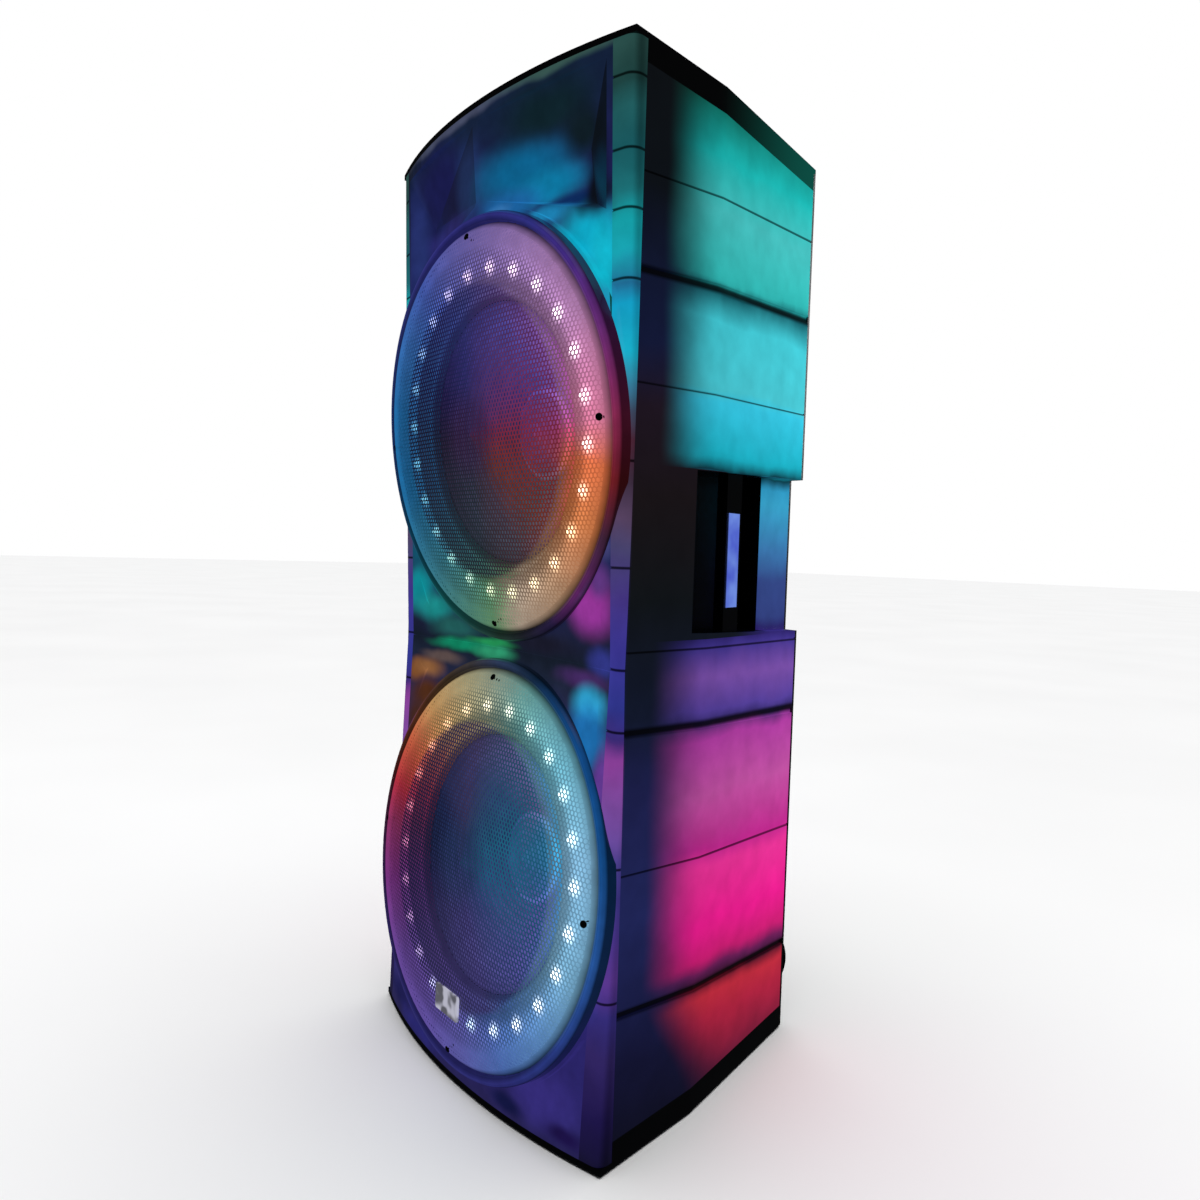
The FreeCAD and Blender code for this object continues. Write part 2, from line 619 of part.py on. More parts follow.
def grille():
    """Domed sheet whose edge turns back into the bezel."""
    drop = GRILLE_RISE - SHOULDER
    sphere_r = (SHOULDER_R ** 2 + drop ** 2) / (2 * drop)
    centre = V(0, 0, GRILLE_RISE - sphere_r)
    outside, inside = (Part.makeSphere(sphere_r + t, centre) for t in (GRILLE_SHEET, 0))
    crown = outside.cut(inside).common(Part.makeCylinder(SHOULDER_R, 2 * GRILLE_RISE))

    def bent_edge(thickness):
        edge = V(GRILLE_R, 0, -2.4 + thickness)
        bend = V(GRILLE_R - 6.3, 0, 5.6 + thickness)
        rise = math.sqrt((sphere_r + thickness) ** 2 - SHOULDER_R ** 2)
        return edge, bend, V(SHOULDER_R, 0, centre.z + rise)

    low, high = bent_edge(0), bent_edge(GRILLE_SHEET)
    outline_edges = [
        Part.Arc(*low).toShape(),
        Part.makeLine(low[2], high[2]),
        Part.Arc(*reversed(high)).toShape(),
        Part.makeLine(high[0], low[0]),
    ]
    rim = Part.Face(Part.Wire(outline_edges)).revolve(V(0, 0, 0), V(0, 0, 1), 360)
    dome = rim.fuse(crown)
    dome.rotate(V(0, 0, 0), V(0, 0, 1), 45)
    hole = at_grille_edge(Part.makeCylinder(SCREW_SHANK_R + 2 * FIT, 20, V(0, 0, -10)))
    return dome.cut(around(hole, SCREWS_PER_GRILLE))


def light_board():
    """Flat ring that carries the lights, with the stepped collar around the cone."""
    outer_r = BEZEL_INNER_R - 0.2
    back = LIGHT_BOARD_FRONT - LIGHT_BOARD
    collar_r = COLLAR_R + COLLAR_WALL
    return revolved(
        [
            (COLLAR_R, CONE_FRONT),
            (collar_r, CONE_FRONT),
            (collar_r, back),
            (outer_r, back),
            (outer_r, LIGHT_BOARD_FRONT),
            (collar_r, LIGHT_BOARD_FRONT),
            (collar_r, 0.5),
            (COLLAR_R, 0.5),
        ]
    )


def lights():
    """Round lights evenly spaced on the light board."""
    post = Part.makeCylinder(LED_R, 2.5, V(LED_CIRCLE_R, 0, LIGHT_BOARD_FRONT))
    dome_z = LIGHT_BOARD_FRONT + 2.5
    dome = Part.makeSphere(LED_R, V(LED_CIRCLE_R, 0, dome_z), V(0, 0, 1), 0, 90, 360)
    return around(post.fuse(dome), LED_COUNT, 180 / LED_COUNT)


def woofer_frame():
    """Cast frame: front flange, windowed cone, back ring."""
    wall = 3.0
    back_front_face = FRAME_FRONT - FRAME_FLANGE
    shell = revolved(
        [
            (COLLAR_R, FRAME_FRONT),
            (FRAME_R, FRAME_FRONT),
            (FRAME_R, back_front_face),
            (BOARD_HOLE_R - 1, back_front_face),
            (MAGNET_R + 4, FRAME_BACK + wall),
            (MAGNET_R + 4, FRAME_BACK),
            (FORMER_R + 10, FRAME_BACK),
            (FORMER_R + 10, FRAME_BACK + wall),
            (MAGNET_R, FRAME_BACK + wall),
            (BOARD_HOLE_R - 6, back_front_face),
            (COLLAR_R, back_front_face),
        ]
    )
    window = box(MAGNET_R + 6, FRAME_R, -26, 26, FRAME_BACK + 16, back_front_face - 14)
    hole = Part.makeCylinder(BOLT_R + 0.1, 20, V(BOLT_CIRCLE_R, 0, FRAME_FRONT - 12))
    return shell.cut(around(window, 6, 30)).cut(around(hole, BOLT_COUNT, 180 / BOLT_COUNT))


def woofer_bolts():
    """Hexagon-headed bolts through both woofer frames into the baffle board."""
    made = []
    for level in (1, -1):
        shank = Part.makeCylinder(BOLT_R - 0.1, 18, V(0, 0, -18))
        corners = [V(4.6 * math.cos(math.radians(a)), 4.6 * math.sin(math.radians(a)), 0)
                   for a in range(0, 361, 60)]
        head = Part.Face(Part.makePolygon(corners)).extrude(V(0, 0, 3.4))
        bolt = head.fuse(shank).removeSplitter()
        bolt.translate(V(BOLT_CIRCLE_R, 0, FRAME_FRONT))
        made.append(on_ring(around(bolt, BOLT_COUNT, 180 / BOLT_COUNT), level))
    return Part.makeCompound(made)


def woofer_magnet():
    back = FRAME_BACK - TOP_PLATE - MAGNET
    return ring(FORMER_R + 14, MAGNET_R, back, back + MAGNET)


def woofer_plates():
    """Steel front plate, and the back plate with its pole piece."""
    front_back = FRAME_BACK - TOP_PLATE
    front_plate = ring(FORMER_R + 2.2, MAGNET_R - 6, front_back, FRAME_BACK)
    plate_back = front_back - MAGNET - BACK_PLATE
    back_plate = Part.makeCylinder(MAGNET_R - 6, BACK_PLATE, V(0, 0, plate_back))
    pole_length = MAGNET + TOP_PLATE + 1
    pole = Part.makeCylinder(FORMER_R - FORMER_WALL - 1.4, pole_length, V(0, 0, front_back - MAGNET))
    return Part.makeCompound([front_plate, back_plate.fuse(pole).removeSplitter()])


def surround():
    """Half-roll rubber edge, glued inside the frame and just clear of the cone."""
    def roll(radius):
        left = V(SURROUND_R - radius, 0, CONE_FRONT)
        right = V(SURROUND_R + radius, 0, CONE_FRONT)
        top = V(SURROUND_R, 0, CONE_FRONT + radius)
        return left, top, right

    outer, inner = roll(SURROUND_ROLL), roll(SURROUND_ROLL - 1.2)
    edges = [
        Part.Arc(outer[0], outer[1], outer[2]).toShape(),
        Part.makeLine(outer[2], inner[2]),
        Part.Arc(inner[2], inner[1], inner[0]).toShape(),
        Part.makeLine(inner[0], outer[0]),
    ]
    half_roll = Part.Face(Part.Wire(edges)).revolve(V(0, 0, 0), V(0, 0, 1), 360)
    flange = ring(SURROUND_R + SURROUND_ROLL - 1.2, COLLAR_R + COLLAR_WALL, FRAME_FRONT, CONE_FRONT)
    return half_roll.fuse(flange).removeSplitter()


def spider():
    """Corrugated centring disc, fixed at its rim and just clear of the voice coil."""
    inner_r, outer_r = FORMER_R + 1.6, MAGNET_R + 2
    waves = 6
    step = (outer_r - inner_r) / (2 * waves)
    top = [(inner_r + step * i, SPIDER + (1.6 if i % 2 else 0)) for i in range(2 * waves + 1)]
    bottom = [(r, h - 0.8) for r, h in reversed(top)]
    return revolved(top + bottom)


def cone():
    return revolved(
        [
            (CONE_NECK_R, CONE_NECK),
            (CONE_R - 4, CONE_FRONT - 0.2),
            (CONE_R, CONE_FRONT - 0.2),
            (CONE_R, CONE_FRONT - CONE_WALL - 0.2),
            (CONE_R - 4 + CONE_WALL, CONE_FRONT - CONE_WALL - 0.2),
            (CONE_NECK_R, CONE_NECK - CONE_WALL * 1.3),
        ]
    )


def dust_cap():
    """Shallow dome glued over the cone's throat."""
    slope = (CONE_R - 4 - CONE_NECK_R) / (CONE_FRONT - 0.2 - CONE_NECK)
    seat = CONE_NECK + (DUST_CAP_R - CONE_NECK_R) / slope
    sphere_r = (DUST_CAP_R ** 2 + DUST_CAP_RISE ** 2) / (2 * DUST_CAP_RISE)
    centre = V(0, 0, seat + DUST_CAP_RISE - sphere_r)
    shell = Part.makeSphere(sphere_r, centre).cut(Part.makeSphere(sphere_r - 1, centre))
    return shell.common(Part.makeCylinder(DUST_CAP_R, 100, V(0, 0, seat)))


def voice_coil():
    """Former tube with the copper winding at its back end."""
    tube = ring(FORMER_R - FORMER_WALL, FORMER_R, FORMER_BACK, CONE_NECK)
    winding = ring(FORMER_R, FORMER_R + 0.9, FORMER_BACK, FORMER_BACK + 18)
    flange = ring(FORMER_R - FORMER_WALL, CONE_NECK_R, CONE_NECK - 3, CONE_NECK)
    return tube.fuse([winding, flange]).removeSplitter()


# ---- lights, electronics and battery inside ----
def side_light_strips():
    """Upright light bars between the sealed box and the light-guide sides."""
    z0, z1 = BODY_BOTTOM + SKIRT + 10, BODY_TOP - SKIRT - 10
    band = outline(INNER_SET_IN - LIGHT_BAR_THICK, z0, z1).cut(outline(INNER_SET_IN, z0, z1))
    bar = band.common(box(0, FAR, LIGHT_BAR_Y[0], LIGHT_BAR_Y[1], 0, HEIGHT))
    bar = bar.cut(recess_prism(CUP_FRONT_Y - 2 * CUP_WALL, REAR_Y, 2 * SIDE_WALL))
    return both_sides(bar)


def amplifier_board():
    """Amplifier and mains supply on one board behind the control panel, with its heat sink."""
    y0, thick = AMPLIFIER_Y, 2.0
    z0, z1 = PANEL_Z[0] + AMPLIFIER_MARGIN, PANEL_Z[1] - AMPLIFIER_MARGIN
    board = box(-AMPLIFIER_HALF_X, AMPLIFIER_HALF_X, y0, y0 + thick, z0, z1)
    sink_x, sink_z0, sink_z1 = HEAT_SINK
    block = box(-sink_x, sink_x, y0 - HEAT_SINK_BACK, y0, sink_z0, sink_z1)
    fin_thick, fin_pitch, fin_length = FIN
    fins = []
    for x in range(-int(sink_x), int(sink_x), fin_pitch):
        fin_y = y0 - HEAT_SINK_BACK
        fins.append(box(x, x + fin_thick, fin_y - fin_length, fin_y, sink_z0, sink_z1))
    left, right, deep, low, high = TRANSFORMER
    transformer = box(left, right, y0 - deep, y0, low, high)
    post_r, post_x, post_in = POST
    posts = []
    for x in (-post_x, post_x):
        for z in (z0 + post_in, z1 - post_in):
            posts.append(cylinder_y(post_r, REAR_Y - y0 - thick, x, y0 + thick, z))
    return board.fuse([block, transformer] + fins + posts).removeSplitter()


def battery():
    floor = BODY_BOTTOM + SKIRT + BOX_GAP + INNER_WALL
    wide, deep, tall = BATTERY
    return box(-wide / 2, wide / 2, BATTERY_Y, BATTERY_Y + deep, floor, floor + tall)


# ---- rear controls ----
def knob(x):
    """Fluted knob on its shaft, in the control panel."""
    back = PANEL_FRONT + 3 * FIT
    body = cylinder_y(KNOB_R, KNOB_LENGTH, x, back, KNOB_Z)
    flute = cylinder_y(FLUTE_R, FAR, x + KNOB_R + 0.5, PANEL_FRONT, KNOB_Z)
    for i in range(KNOB_FLUTES):
        copy = flute.copy()
        copy.rotate(V(x, 0, KNOB_Z), V(0, 1, 0), 360.0 * i / KNOB_FLUTES)
        body = body.cut(copy)
    inner, outer, half, deep = POINTER
    face = back + KNOB_LENGTH
    pointer = box(x - half, x + half, face - deep, face + 1, KNOB_Z + inner, KNOB_Z + outer)
    shaft = cylinder_y(KNOB_SHAFT_R, KNOB_SHAFT + 2, x, PANEL_FRONT - KNOB_SHAFT, KNOB_Z)
    return body.cut(pointer).fuse(shaft).removeSplitter()


def button(x):
    """Sprung button with a flange behind the control panel that stops it falling out."""
    back = PANEL_FRONT - PANEL_THICK - BUTTON_TRAVEL
    cap = cylinder_y(BUTTON_R, PANEL_THICK + BUTTON_TRAVEL + BUTTON_LIFT, x, back, BUTTON_Z)
    flange = cylinder_y(BUTTON_R + BUTTON_FLANGE[0], BUTTON_FLANGE[1], x, back, BUTTON_Z)
    return cap.fuse(flange).removeSplitter()


def power_rocker():
    """Two-position rocker, resting on its lower side."""
    axis_y = PANEL_FRONT - ROCKER_AXIS
    drum = cylinder_x(ROCKER_R, ROCKER_WIDE, ROCKER_X - ROCKER_WIDE / 2, axis_y, ROCKER_Z)
    keep = box(-FAR, FAR, axis_y - FAR, axis_y + ROCKER_FACE, ROCKER_Z - FAR, ROCKER_Z + FAR)
    for side in (1, -1):
        half = keep.copy()
        half.rotate(V(0, axis_y, ROCKER_Z), V(1, 0, 0), side * ROCKER_TILT)
        drum = drum.common(half)
    drum.rotate(V(0, axis_y, ROCKER_Z), V(1, 0, 0), -ROCKER_TILT)
    return drum


def knob_places():
    return [-KNOB_PITCH, 0.0, KNOB_PITCH]


def button_places():
    return [-BUTTON_PITCH, 0.0, BUTTON_PITCH]


def control_panel():
    """Plate on the back that carries the controls and the sockets."""
    plate = box(-PANEL_X, PANEL_X, REAR_Y, PANEL_FRONT, PANEL_Z[0], PANEL_Z[1])
    corner_edges = [e for e in plate.Edges if abs(e.Length - PANEL_THICK) < 0.01]
    plate = plate.makeFillet(PANEL_ROUND, corner_edges)
    cutters = [cylinder_y(KNOB_SHAFT_R + 1.5 * FIT, FAR, x, 0, KNOB_Z) for x in knob_places()]
    cutters += [cylinder_y(BUTTON_R + 2 * FIT, FAR, x, 0, BUTTON_Z) for x in button_places()]
    cutters += [cylinder_y(JACK_SLEEVE[0] + FIT / 2, FAR, x, 0, JACK_Z) for x in JACK_X]
    windows = [
        (ROCKER_X, ROCKER_Z, ROCKER_WIDE / 2 + 2.5 * FIT, ROCKER_R - 1),
        (INLET_X, INLET_Z, INLET_HALF[0] + FIT, INLET_HALF[1] + FIT),
        (0.0, WINDOW_Z, WINDOW_HALF[0], WINDOW_HALF[1]),
    ]
    for x, z, half_x, half_z in windows:
        cutters.append(box(x - half_x, x + half_x, 0, FAR, z - half_z, z + half_z))
    for cutter in cutters:
        plate = plate.cut(cutter)
    return plate


def display_window():
    """Smoked window over the track and volume display."""
    def pane(grow, y0, y1):
        half_x, half_z = WINDOW_HALF[0] + grow, WINDOW_HALF[1] + grow
        return box(-half_x, half_x, y0, y1, WINDOW_Z - half_z, WINDOW_Z + half_z)

    window = pane(-FIT, REAR_Y, PANEL_FRONT + 3 * FIT)
    return window.fuse(pane(WINDOW_FLANGE, REAR_Y - 8 * FIT, REAR_Y)).removeSplitter()


def jack_sockets():
    """Microphone and instrument sockets: threaded sleeve with a round nut."""
    made = []
    sleeve_r, sleeve_length = JACK_SLEEVE
    nut_r, nut_thick = JACK_NUT
    for x in JACK_X:
        sleeve_back = PANEL_FRONT + nut_thick - sleeve_length
        sleeve = cylinder_y(sleeve_r, sleeve_length, x, sleeve_back, JACK_Z)
        nut = cylinder_y(nut_r, nut_thick, x, PANEL_FRONT, JACK_Z)
        bore = cylinder_y(JACK_R, FAR, x, PANEL_FRONT - JACK_DEEP, JACK_Z)
        made.append(sleeve.fuse(nut).cut(bore).removeSplitter())
    return Part.makeCompound(made)


def mains_inlet():
    """Recessed three-pin inlet for a detachable lead."""
    def block(half, y0, y1, x=0.0, z=0.0):
        middle_x, middle_z = INLET_X + x, INLET_Z + z
        return box(middle_x - half[0], middle_x + half[0], PANEL_FRONT + y0, PANEL_FRONT + y1,
                   middle_z - half[1], middle_z + half[1])

    body = block(INLET_HALF, -24, 0).fuse(block(INLET_FLANGE_HALF, 0, 2))
    body = body.cut(block(INLET_RECESS_HALF, -18, FAR))
    pins = [block((1, 2), -19, -4, x, z) for x, z in INLET_PINS]
    return body.fuse(pins).removeSplitter()


# ---- wheels and feet ----
def wheel():
    """Right wheel: tyre and hub in one moulding, ribbed in the middle."""
    half = WHEEL_WIDE / 2
    profile = [
        (AXLE_R + 0.06, -half),
        (WHEEL_R - 3, -half),
        (WHEEL_R, -half + 3),
        (WHEEL_R, half - 3),
        (WHEEL_R - 3, half),
        (WHEEL_R - 8, half),
        (WHEEL_R - 9, half - 5),
        (AXLE_R + 6, half - 5),
        (AXLE_R + 5, half),
        (AXLE_R + 0.06, half),
    ]
    made = revolved(profile)
    made.rotate(V(0, 0, 0), V(0, 1, 0), 90)
    made.translate(V(WHEEL_X, WHEEL_Y, WHEEL_Z))
    return made


def wheel_well():
    """Right well around the wheel, open at the back."""
    outer, inner = wheel_hole(CUP_WALL - 0.2), wheel_hole(0)
    back = box(-FAR, FAR, -FAR, REAR_Y, 0, HEIGHT)
    well = outer.cut(inner).common(back)
    axle = cylinder_x(AXLE_R, 4 * WHEEL_WIDE, WHEEL_X - 2 * WHEEL_WIDE, WHEEL_Y, WHEEL_Z)
    return well.common(outline(0.5, 0, HEIGHT)).cut(axle)


def axle_stub():
    reach = WHEEL_WIDE / 2 + WHEEL_GAP[0] + CUP_WALL
    return cylinder_x(AXLE_R, 2 * reach - 2, WHEEL_X - reach - 1, WHEEL_Y, WHEEL_Z)


def feet():
    made = []
    for x, y in FOOT_PLACES:
        made.append(Part.makeCone(16, 18, FOOT_DROP, V(x, y, 0)))
        made.append(Part.makeCone(16, 18, FOOT_DROP, V(-x, y, 0)))
    return Part.makeCompound(made)


def badge():
    """Blank plate on the lower grille."""
    wide, tall, thick = BADGE
    plate = box(-wide / 2, wide / 2, -tall / 2, tall / 2, 0, thick)
    plate = plate.makeFillet(3, [e for e in plate.Edges if abs(e.Length - thick) < 0.01])
    plate.rotate(V(0, 0, 0), V(1, 0, 0), 5.7)
    plate.translate(V(0, -BADGE_DOWN, 16.0))
    return on_ring(plate, -1)


def screw_head():
    """Pan head with a cross slot, standing on the XY plane, its shank below."""
    head = Part.makeCylinder(SCREW_R, SCREW_HEAD)
    head = head.makeFillet(1.0, [e for e in head.Edges if abs(e.CenterOfMass.z - SCREW_HEAD) < 0.01])
    long, wide = SCREW_SLOT
    floor = SCREW_HEAD / 2
    for half_x, half_y in ((long, wide), (wide, long)):
        head = head.cut(box(-half_x, half_x, -half_y, half_y, floor, 2 * SCREW_HEAD))
    shank = Part.makeCylinder(SCREW_SHANK_R, SCREW_LENGTH, V(0, 0, -SCREW_LENGTH))
    return head.fuse(shank).removeSplitter()


def screws():
    """Four screws near each grille's edge and eight in the back."""
    made = []
    for level in (1, -1):
        head = at_grille_edge(screw_head())
        made.append(on_ring(around(head, SCREWS_PER_GRILLE), level))
    for x, z in rear_screw_places():
        head = screw_head()
        head.rotate(V(0, 0, 0), V(1, 0, 0), -90)
        head.translate(V(x, REAR_Y, z))
        made.append(head)
    return Part.makeCompound(made)


# ---- the whole speaker ----
def speaker():
    """Every sub-part by name."""
    parts = {}
    parts["upper_fascia"], parts["lower_fascia"] = fascias()
    parts["left_corner_trim"], parts["right_corner_trim"] = corner_trims()
    parts["left_side_panel"], parts["right_side_panel"] = side_panels()
    top_skirt = (BODY_TOP - SKIRT, BODY_TOP)
    bottom_skirt = (BODY_BOTTOM, BODY_BOTTOM + SKIRT)
    parts["top_cover"] = end_cover((BODY_TOP, HEIGHT), top_skirt)
    parts["bottom_cover"] = end_cover((FOOT_DROP, BODY_BOTTOM), bottom_skirt)
    parts["rear_panel"] = rear_panel()
    parts["inner_box"] = inner_box()
    parts["baffle_board"] = baffle()
    ring_parts = {
        "bezel": bezel,
        "grille": grille,
        "light_board": light_board,
        "lights": lights,
        "woofer_frame": woofer_frame,
        "magnet": woofer_magnet,
        "magnet_plates": woofer_plates,
        "surround": surround,
        "spider": spider,
        "cone": cone,
        "dust_cap": dust_cap,
        "voice_coil": voice_coil,
    }
    for level, name in ((1, "upper"), (-1, "lower")):
        for part, make in ring_parts.items():
            parts[name + "_" + part] = on_ring(make(), level)
    parts["right_handle_cup"] = handle_cup()
    parts["left_handle_cup"] = mirrored(parts["right_handle_cup"])
    parts["grip_lights"] = both_sides(grip_light())
    parts["side_light_strips"] = side_light_strips()
    parts["amplifier_board"] = amplifier_board()
    parts["battery"] = battery()
    parts["control_panel"] = control_panel()
    for name, x in zip(("treble_knob", "volume_knob", "microphone_knob"), knob_places()):
        parts[name] = knob(x)
    for name, x in zip(("light_button", "play_button", "input_button"), button_places()):
        parts[name] = button(x)
    parts["power_rocker"] = power_rocker()
    parts["display_window"] = display_window()
    parts["jack_sockets"] = jack_sockets()
    parts["mains_inlet"] = mains_inlet()
    parts["right_wheel"] = wheel()
    parts["left_wheel"] = mirrored(parts["right_wheel"])
    parts["wheel_wells"] = both_sides(wheel_well())
    parts["axle_stubs"] = both_sides(axle_stub())
    parts["woofer_bolts"] = woofer_bolts()
    parts["feet"] = feet()
    parts["badge"] = badge()
    parts["screws"] = screws()
    return parts


os.makedirs("parts", exist_ok=True)
whole = []
for node, shape in speaker().items():
    shape.exportStep("parts/" + node + ".step")
    whole.append(shape)
    print(node, len(shape.Solids), round(shape.Volume / 1000), "cm3", shape.isValid())
extent = Part.makeCompound(whole).optimalBoundingBox(False)
print("nodes", len(whole))
print("x", round(extent.XMin, 1), round(extent.XMax, 1))
print("y", round(extent.YMin, 1), round(extent.YMax, 1))
print("z", round(extent.ZMin, 1), round(extent.ZMax, 1))
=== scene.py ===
"""Looks of a floor-standing party speaker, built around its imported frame.

Metres, +X to the right, +Y to the back, +Z up, origin on the floor under the middle.
"""

import json
import logging
import math
from dataclasses import dataclass, field
from enum import Enum
from typing import Any

import bpy
from mathutils import Matrix, Vector


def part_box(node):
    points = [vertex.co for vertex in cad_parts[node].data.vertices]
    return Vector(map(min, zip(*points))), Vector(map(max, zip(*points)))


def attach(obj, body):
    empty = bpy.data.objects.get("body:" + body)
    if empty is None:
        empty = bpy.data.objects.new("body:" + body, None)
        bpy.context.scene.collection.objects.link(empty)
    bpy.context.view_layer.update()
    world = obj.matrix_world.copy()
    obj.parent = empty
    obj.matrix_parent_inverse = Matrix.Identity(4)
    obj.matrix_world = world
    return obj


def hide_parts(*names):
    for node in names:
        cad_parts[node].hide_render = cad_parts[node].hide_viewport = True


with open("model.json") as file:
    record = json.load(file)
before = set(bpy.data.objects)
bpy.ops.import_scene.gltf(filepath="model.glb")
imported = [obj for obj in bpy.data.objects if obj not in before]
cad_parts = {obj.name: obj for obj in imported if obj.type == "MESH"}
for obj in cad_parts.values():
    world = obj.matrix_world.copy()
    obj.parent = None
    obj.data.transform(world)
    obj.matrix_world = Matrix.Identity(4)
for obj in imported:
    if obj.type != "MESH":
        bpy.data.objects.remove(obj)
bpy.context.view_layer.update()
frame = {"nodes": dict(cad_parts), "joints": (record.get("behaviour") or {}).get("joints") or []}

log = logging.getLogger("party_speaker")
MM = 0.001
HOURS = 12.0

NOISE_RANGE = (0.3, 0.7)  # where nearly all of a noise texture's values lie
BAND_SCALE = 0.314  # a band texture's scale for stripes one metre apart
TIMES = {"operation": "MULTIPLY"}
TIMES_PLUS = {"operation": "MULTIPLY_ADD"}
PLUS = {"operation": "ADD"}
MINUS = {"operation": "SUBTRACT"}
OVER = {"operation": "DIVIDE"}
UNSIGNED = {"operation": "ABSOLUTE"}
LENGTH = {"operation": "LENGTH"}

Stops = tuple[tuple[float, str], ...]
Colour = tuple[float, float, float, float]


# ---- colour and nodes ----
def linear(hex_colour: str) -> Colour:
    """Turns an sRGB hex colour into linear light.

    Args:
        hex_colour: six hex digits, such as "1a2b3c".

    Returns:
        Red, green, blue and an alpha of 1.
    """
    shares = [int(hex_colour[i : i + 2], 16) / 255 for i in (0, 2, 4)]
    light = [c / 12.92 if c <= 0.04045 else ((c + 0.055) / 1.055) ** 2.4 for c in shares]
    return light[0], light[1], light[2], 1.0


def add_node(
    tree: bpy.types.NodeTree,
    kind: str,
    settings: dict[str, Any] | None = None,
    inputs: dict[int | str, Any] | None = None,
) -> bpy.types.Node:
    """Adds a shader node, with its settings and links.

    Args:
        tree: the node tree of a material or a world.
        kind: the node's type, without "ShaderNode".
        settings: attribute names and values; "stops" fills a colour ramp.
        inputs: socket names or numbers, each with a value, a socket or a node to link.

    Returns:
        The new node.
    """
    node = tree.nodes.new("ShaderNode" + kind)
    for name, value in (settings or {}).items():
        if name == "stops":
            elements = node.color_ramp.elements
            elements.remove(elements[1])
            elements[0].position, elements[0].color = value[0][0], linear(value[0][1])
            for place, hex_colour in value[1:]:
                elements.new(place).color = linear(hex_colour)
        else:
            setattr(node, name, value)
    for socket, value in (inputs or {}).items():
        if isinstance(value, bpy.types.Node):
            tree.links.new(value.outputs[0], node.inputs[socket])
        elif isinstance(value, bpy.types.NodeSocket):
            tree.links.new(value, node.inputs[socket])
        else:
            node.inputs[socket].default_value = value
    return node


class Surface:
    """A material with one principled shader, and the object coordinates that its patterns use."""

    def __init__(self, name: str, **constants: Any) -> None:
        """Makes the material.

        Args:
            name: the material's name.
            **constants: principled sockets, with underscores for spaces, and their values.
        """
        self.material = bpy.data.materials.new(name)
        self.material.use_nodes = True
        self.tree = self.material.node_tree
        self.shader = self.tree.nodes["Principled BSDF"]
        for socket, value in constants.items():
            self.shader.inputs[socket.replace("_", " ")].default_value = value
        self.place = self.add("TexCoord").outputs["Object"]

    def add(
        self,
        kind: str,
        settings: dict[str, Any] | None = None,
        inputs: dict[int | str, Any] | None = None,
    ) -> bpy.types.Node:
        """Adds a node to this material's tree."""
        return add_node(self.tree, kind, settings, inputs)

    def feed(self, socket: str, node: bpy.types.Node) -> None:
        """Links a node's first output to one of the shader's sockets."""
        self.tree.links.new(node.outputs[0], self.shader.inputs[socket])

    def noise(self, size: float, detail: float = 3.0, seed: float = 0.0) -> bpy.types.Node:
        """Noise whose lumps are about this size, in metres."""
        settings = {"noise_dimensions": "4D"}
        inputs = {"Vector": self.place, "Scale": 1 / size, "Detail": detail, "W": seed}
        return self.add("TexNoise", settings, inputs)

    def remap(
        self, value: Any, source: tuple[float, float], target: tuple[float, float], smooth: bool = False
    ) -> bpy.types.Node:
        """Stretches a value from one range to another, and holds it at the ends.

        Args:
            value: the node or socket to read.
            source: the two source values.
            target: what they become.
            smooth: whether the step between them eases in and out.

        Returns:
            The node that gives the new value.
        """
        settings = {"interpolation_type": "SMOOTHSTEP" if smooth else "LINEAR"}
        inputs = {0: value, 1: source[0], 2: source[1], 3: target[0], 4: target[1]}
        return self.add("MapRange", settings, inputs)

    def blend(self, share: Any, first: Any, second: Any, mode: str = "MIX") -> bpy.types.NodeSocket:
        """Mixes two colours.

        Args:
            share: how much of the second, as a number, node or socket.
            first: the colour below.
            second: the colour above.
            mode: the way of mixing.

        Returns:
            The socket that gives the mixed colour.
        """
        node = self.add("Mix", {"data_type": "RGBA", "blend_type": mode}, {0: share})
        for socket, colour in ((node.inputs[6], first), (node.inputs[7], second)):
            if isinstance(colour, tuple):
                socket.default_value = colour
            else:
                self.tree.links.new(getattr(colour, "outputs", [colour])[0], socket)
        return node.outputs[2]

    def dark_lines(self, level: Any, places: tuple[float, ...], half: float, depth: float) -> bpy.types.Node:
        """A factor that is 1 except along thin lines.

        Args:
            level: the node or socket that the lines are placed along, in metres.
            places: where the lines are.
            half: half the width of a line, in metres.
            depth: how much light a line keeps, from 0 to 1.

        Returns:
            The node that gives the factor.
        """
        factor = self.remap(level, (0.0, 1.0), (1.0, 1.0))
        for place in places:
            away = self.add("Math", MINUS, {0: level, 1: place})
            gap = self.add("Math", UNSIGNED, {0: away})
            line = self.remap(gap, (0.5 * half, 2.0 * half), (depth, 1.0), True)
            factor = self.add("Math", TIMES, {0: factor, 1: line})
        return factor

    def bump(self, height: Any, depth: float) -> None:
        """Raises the surface by up to a depth in metres where height is 1."""
        self.feed("Normal", self.add("Bump", None, {"Distance": depth, "Height": height}))

    def paint(self, colour: bpy.types.NodeSocket) -> None:
        """Gives the surface its own colour."""
        self.tree.links.new(colour, self.shader.inputs["Base Color"])

    def glow(self, colour: Any, strength: Any = 1.0) -> None:
        """Makes the surface give off a colour, given as a value or as a socket."""
        if isinstance(colour, tuple):
            self.shader.inputs["Emission Color"].default_value = colour
        else:
            self.tree.links.new(colour, self.shader.inputs["Emission Color"])
        if isinstance(strength, float):
            self.shader.inputs["Emission Strength"].default_value = strength
        else:
            self.feed("Emission Strength", strength)


# ---- finishes ----
class Grain(Enum):
    """How a moulded, painted or cut surface was made."""

    POLISHED = "polished"
    SPARKED = "sparked"
    TEXTURED = "textured"


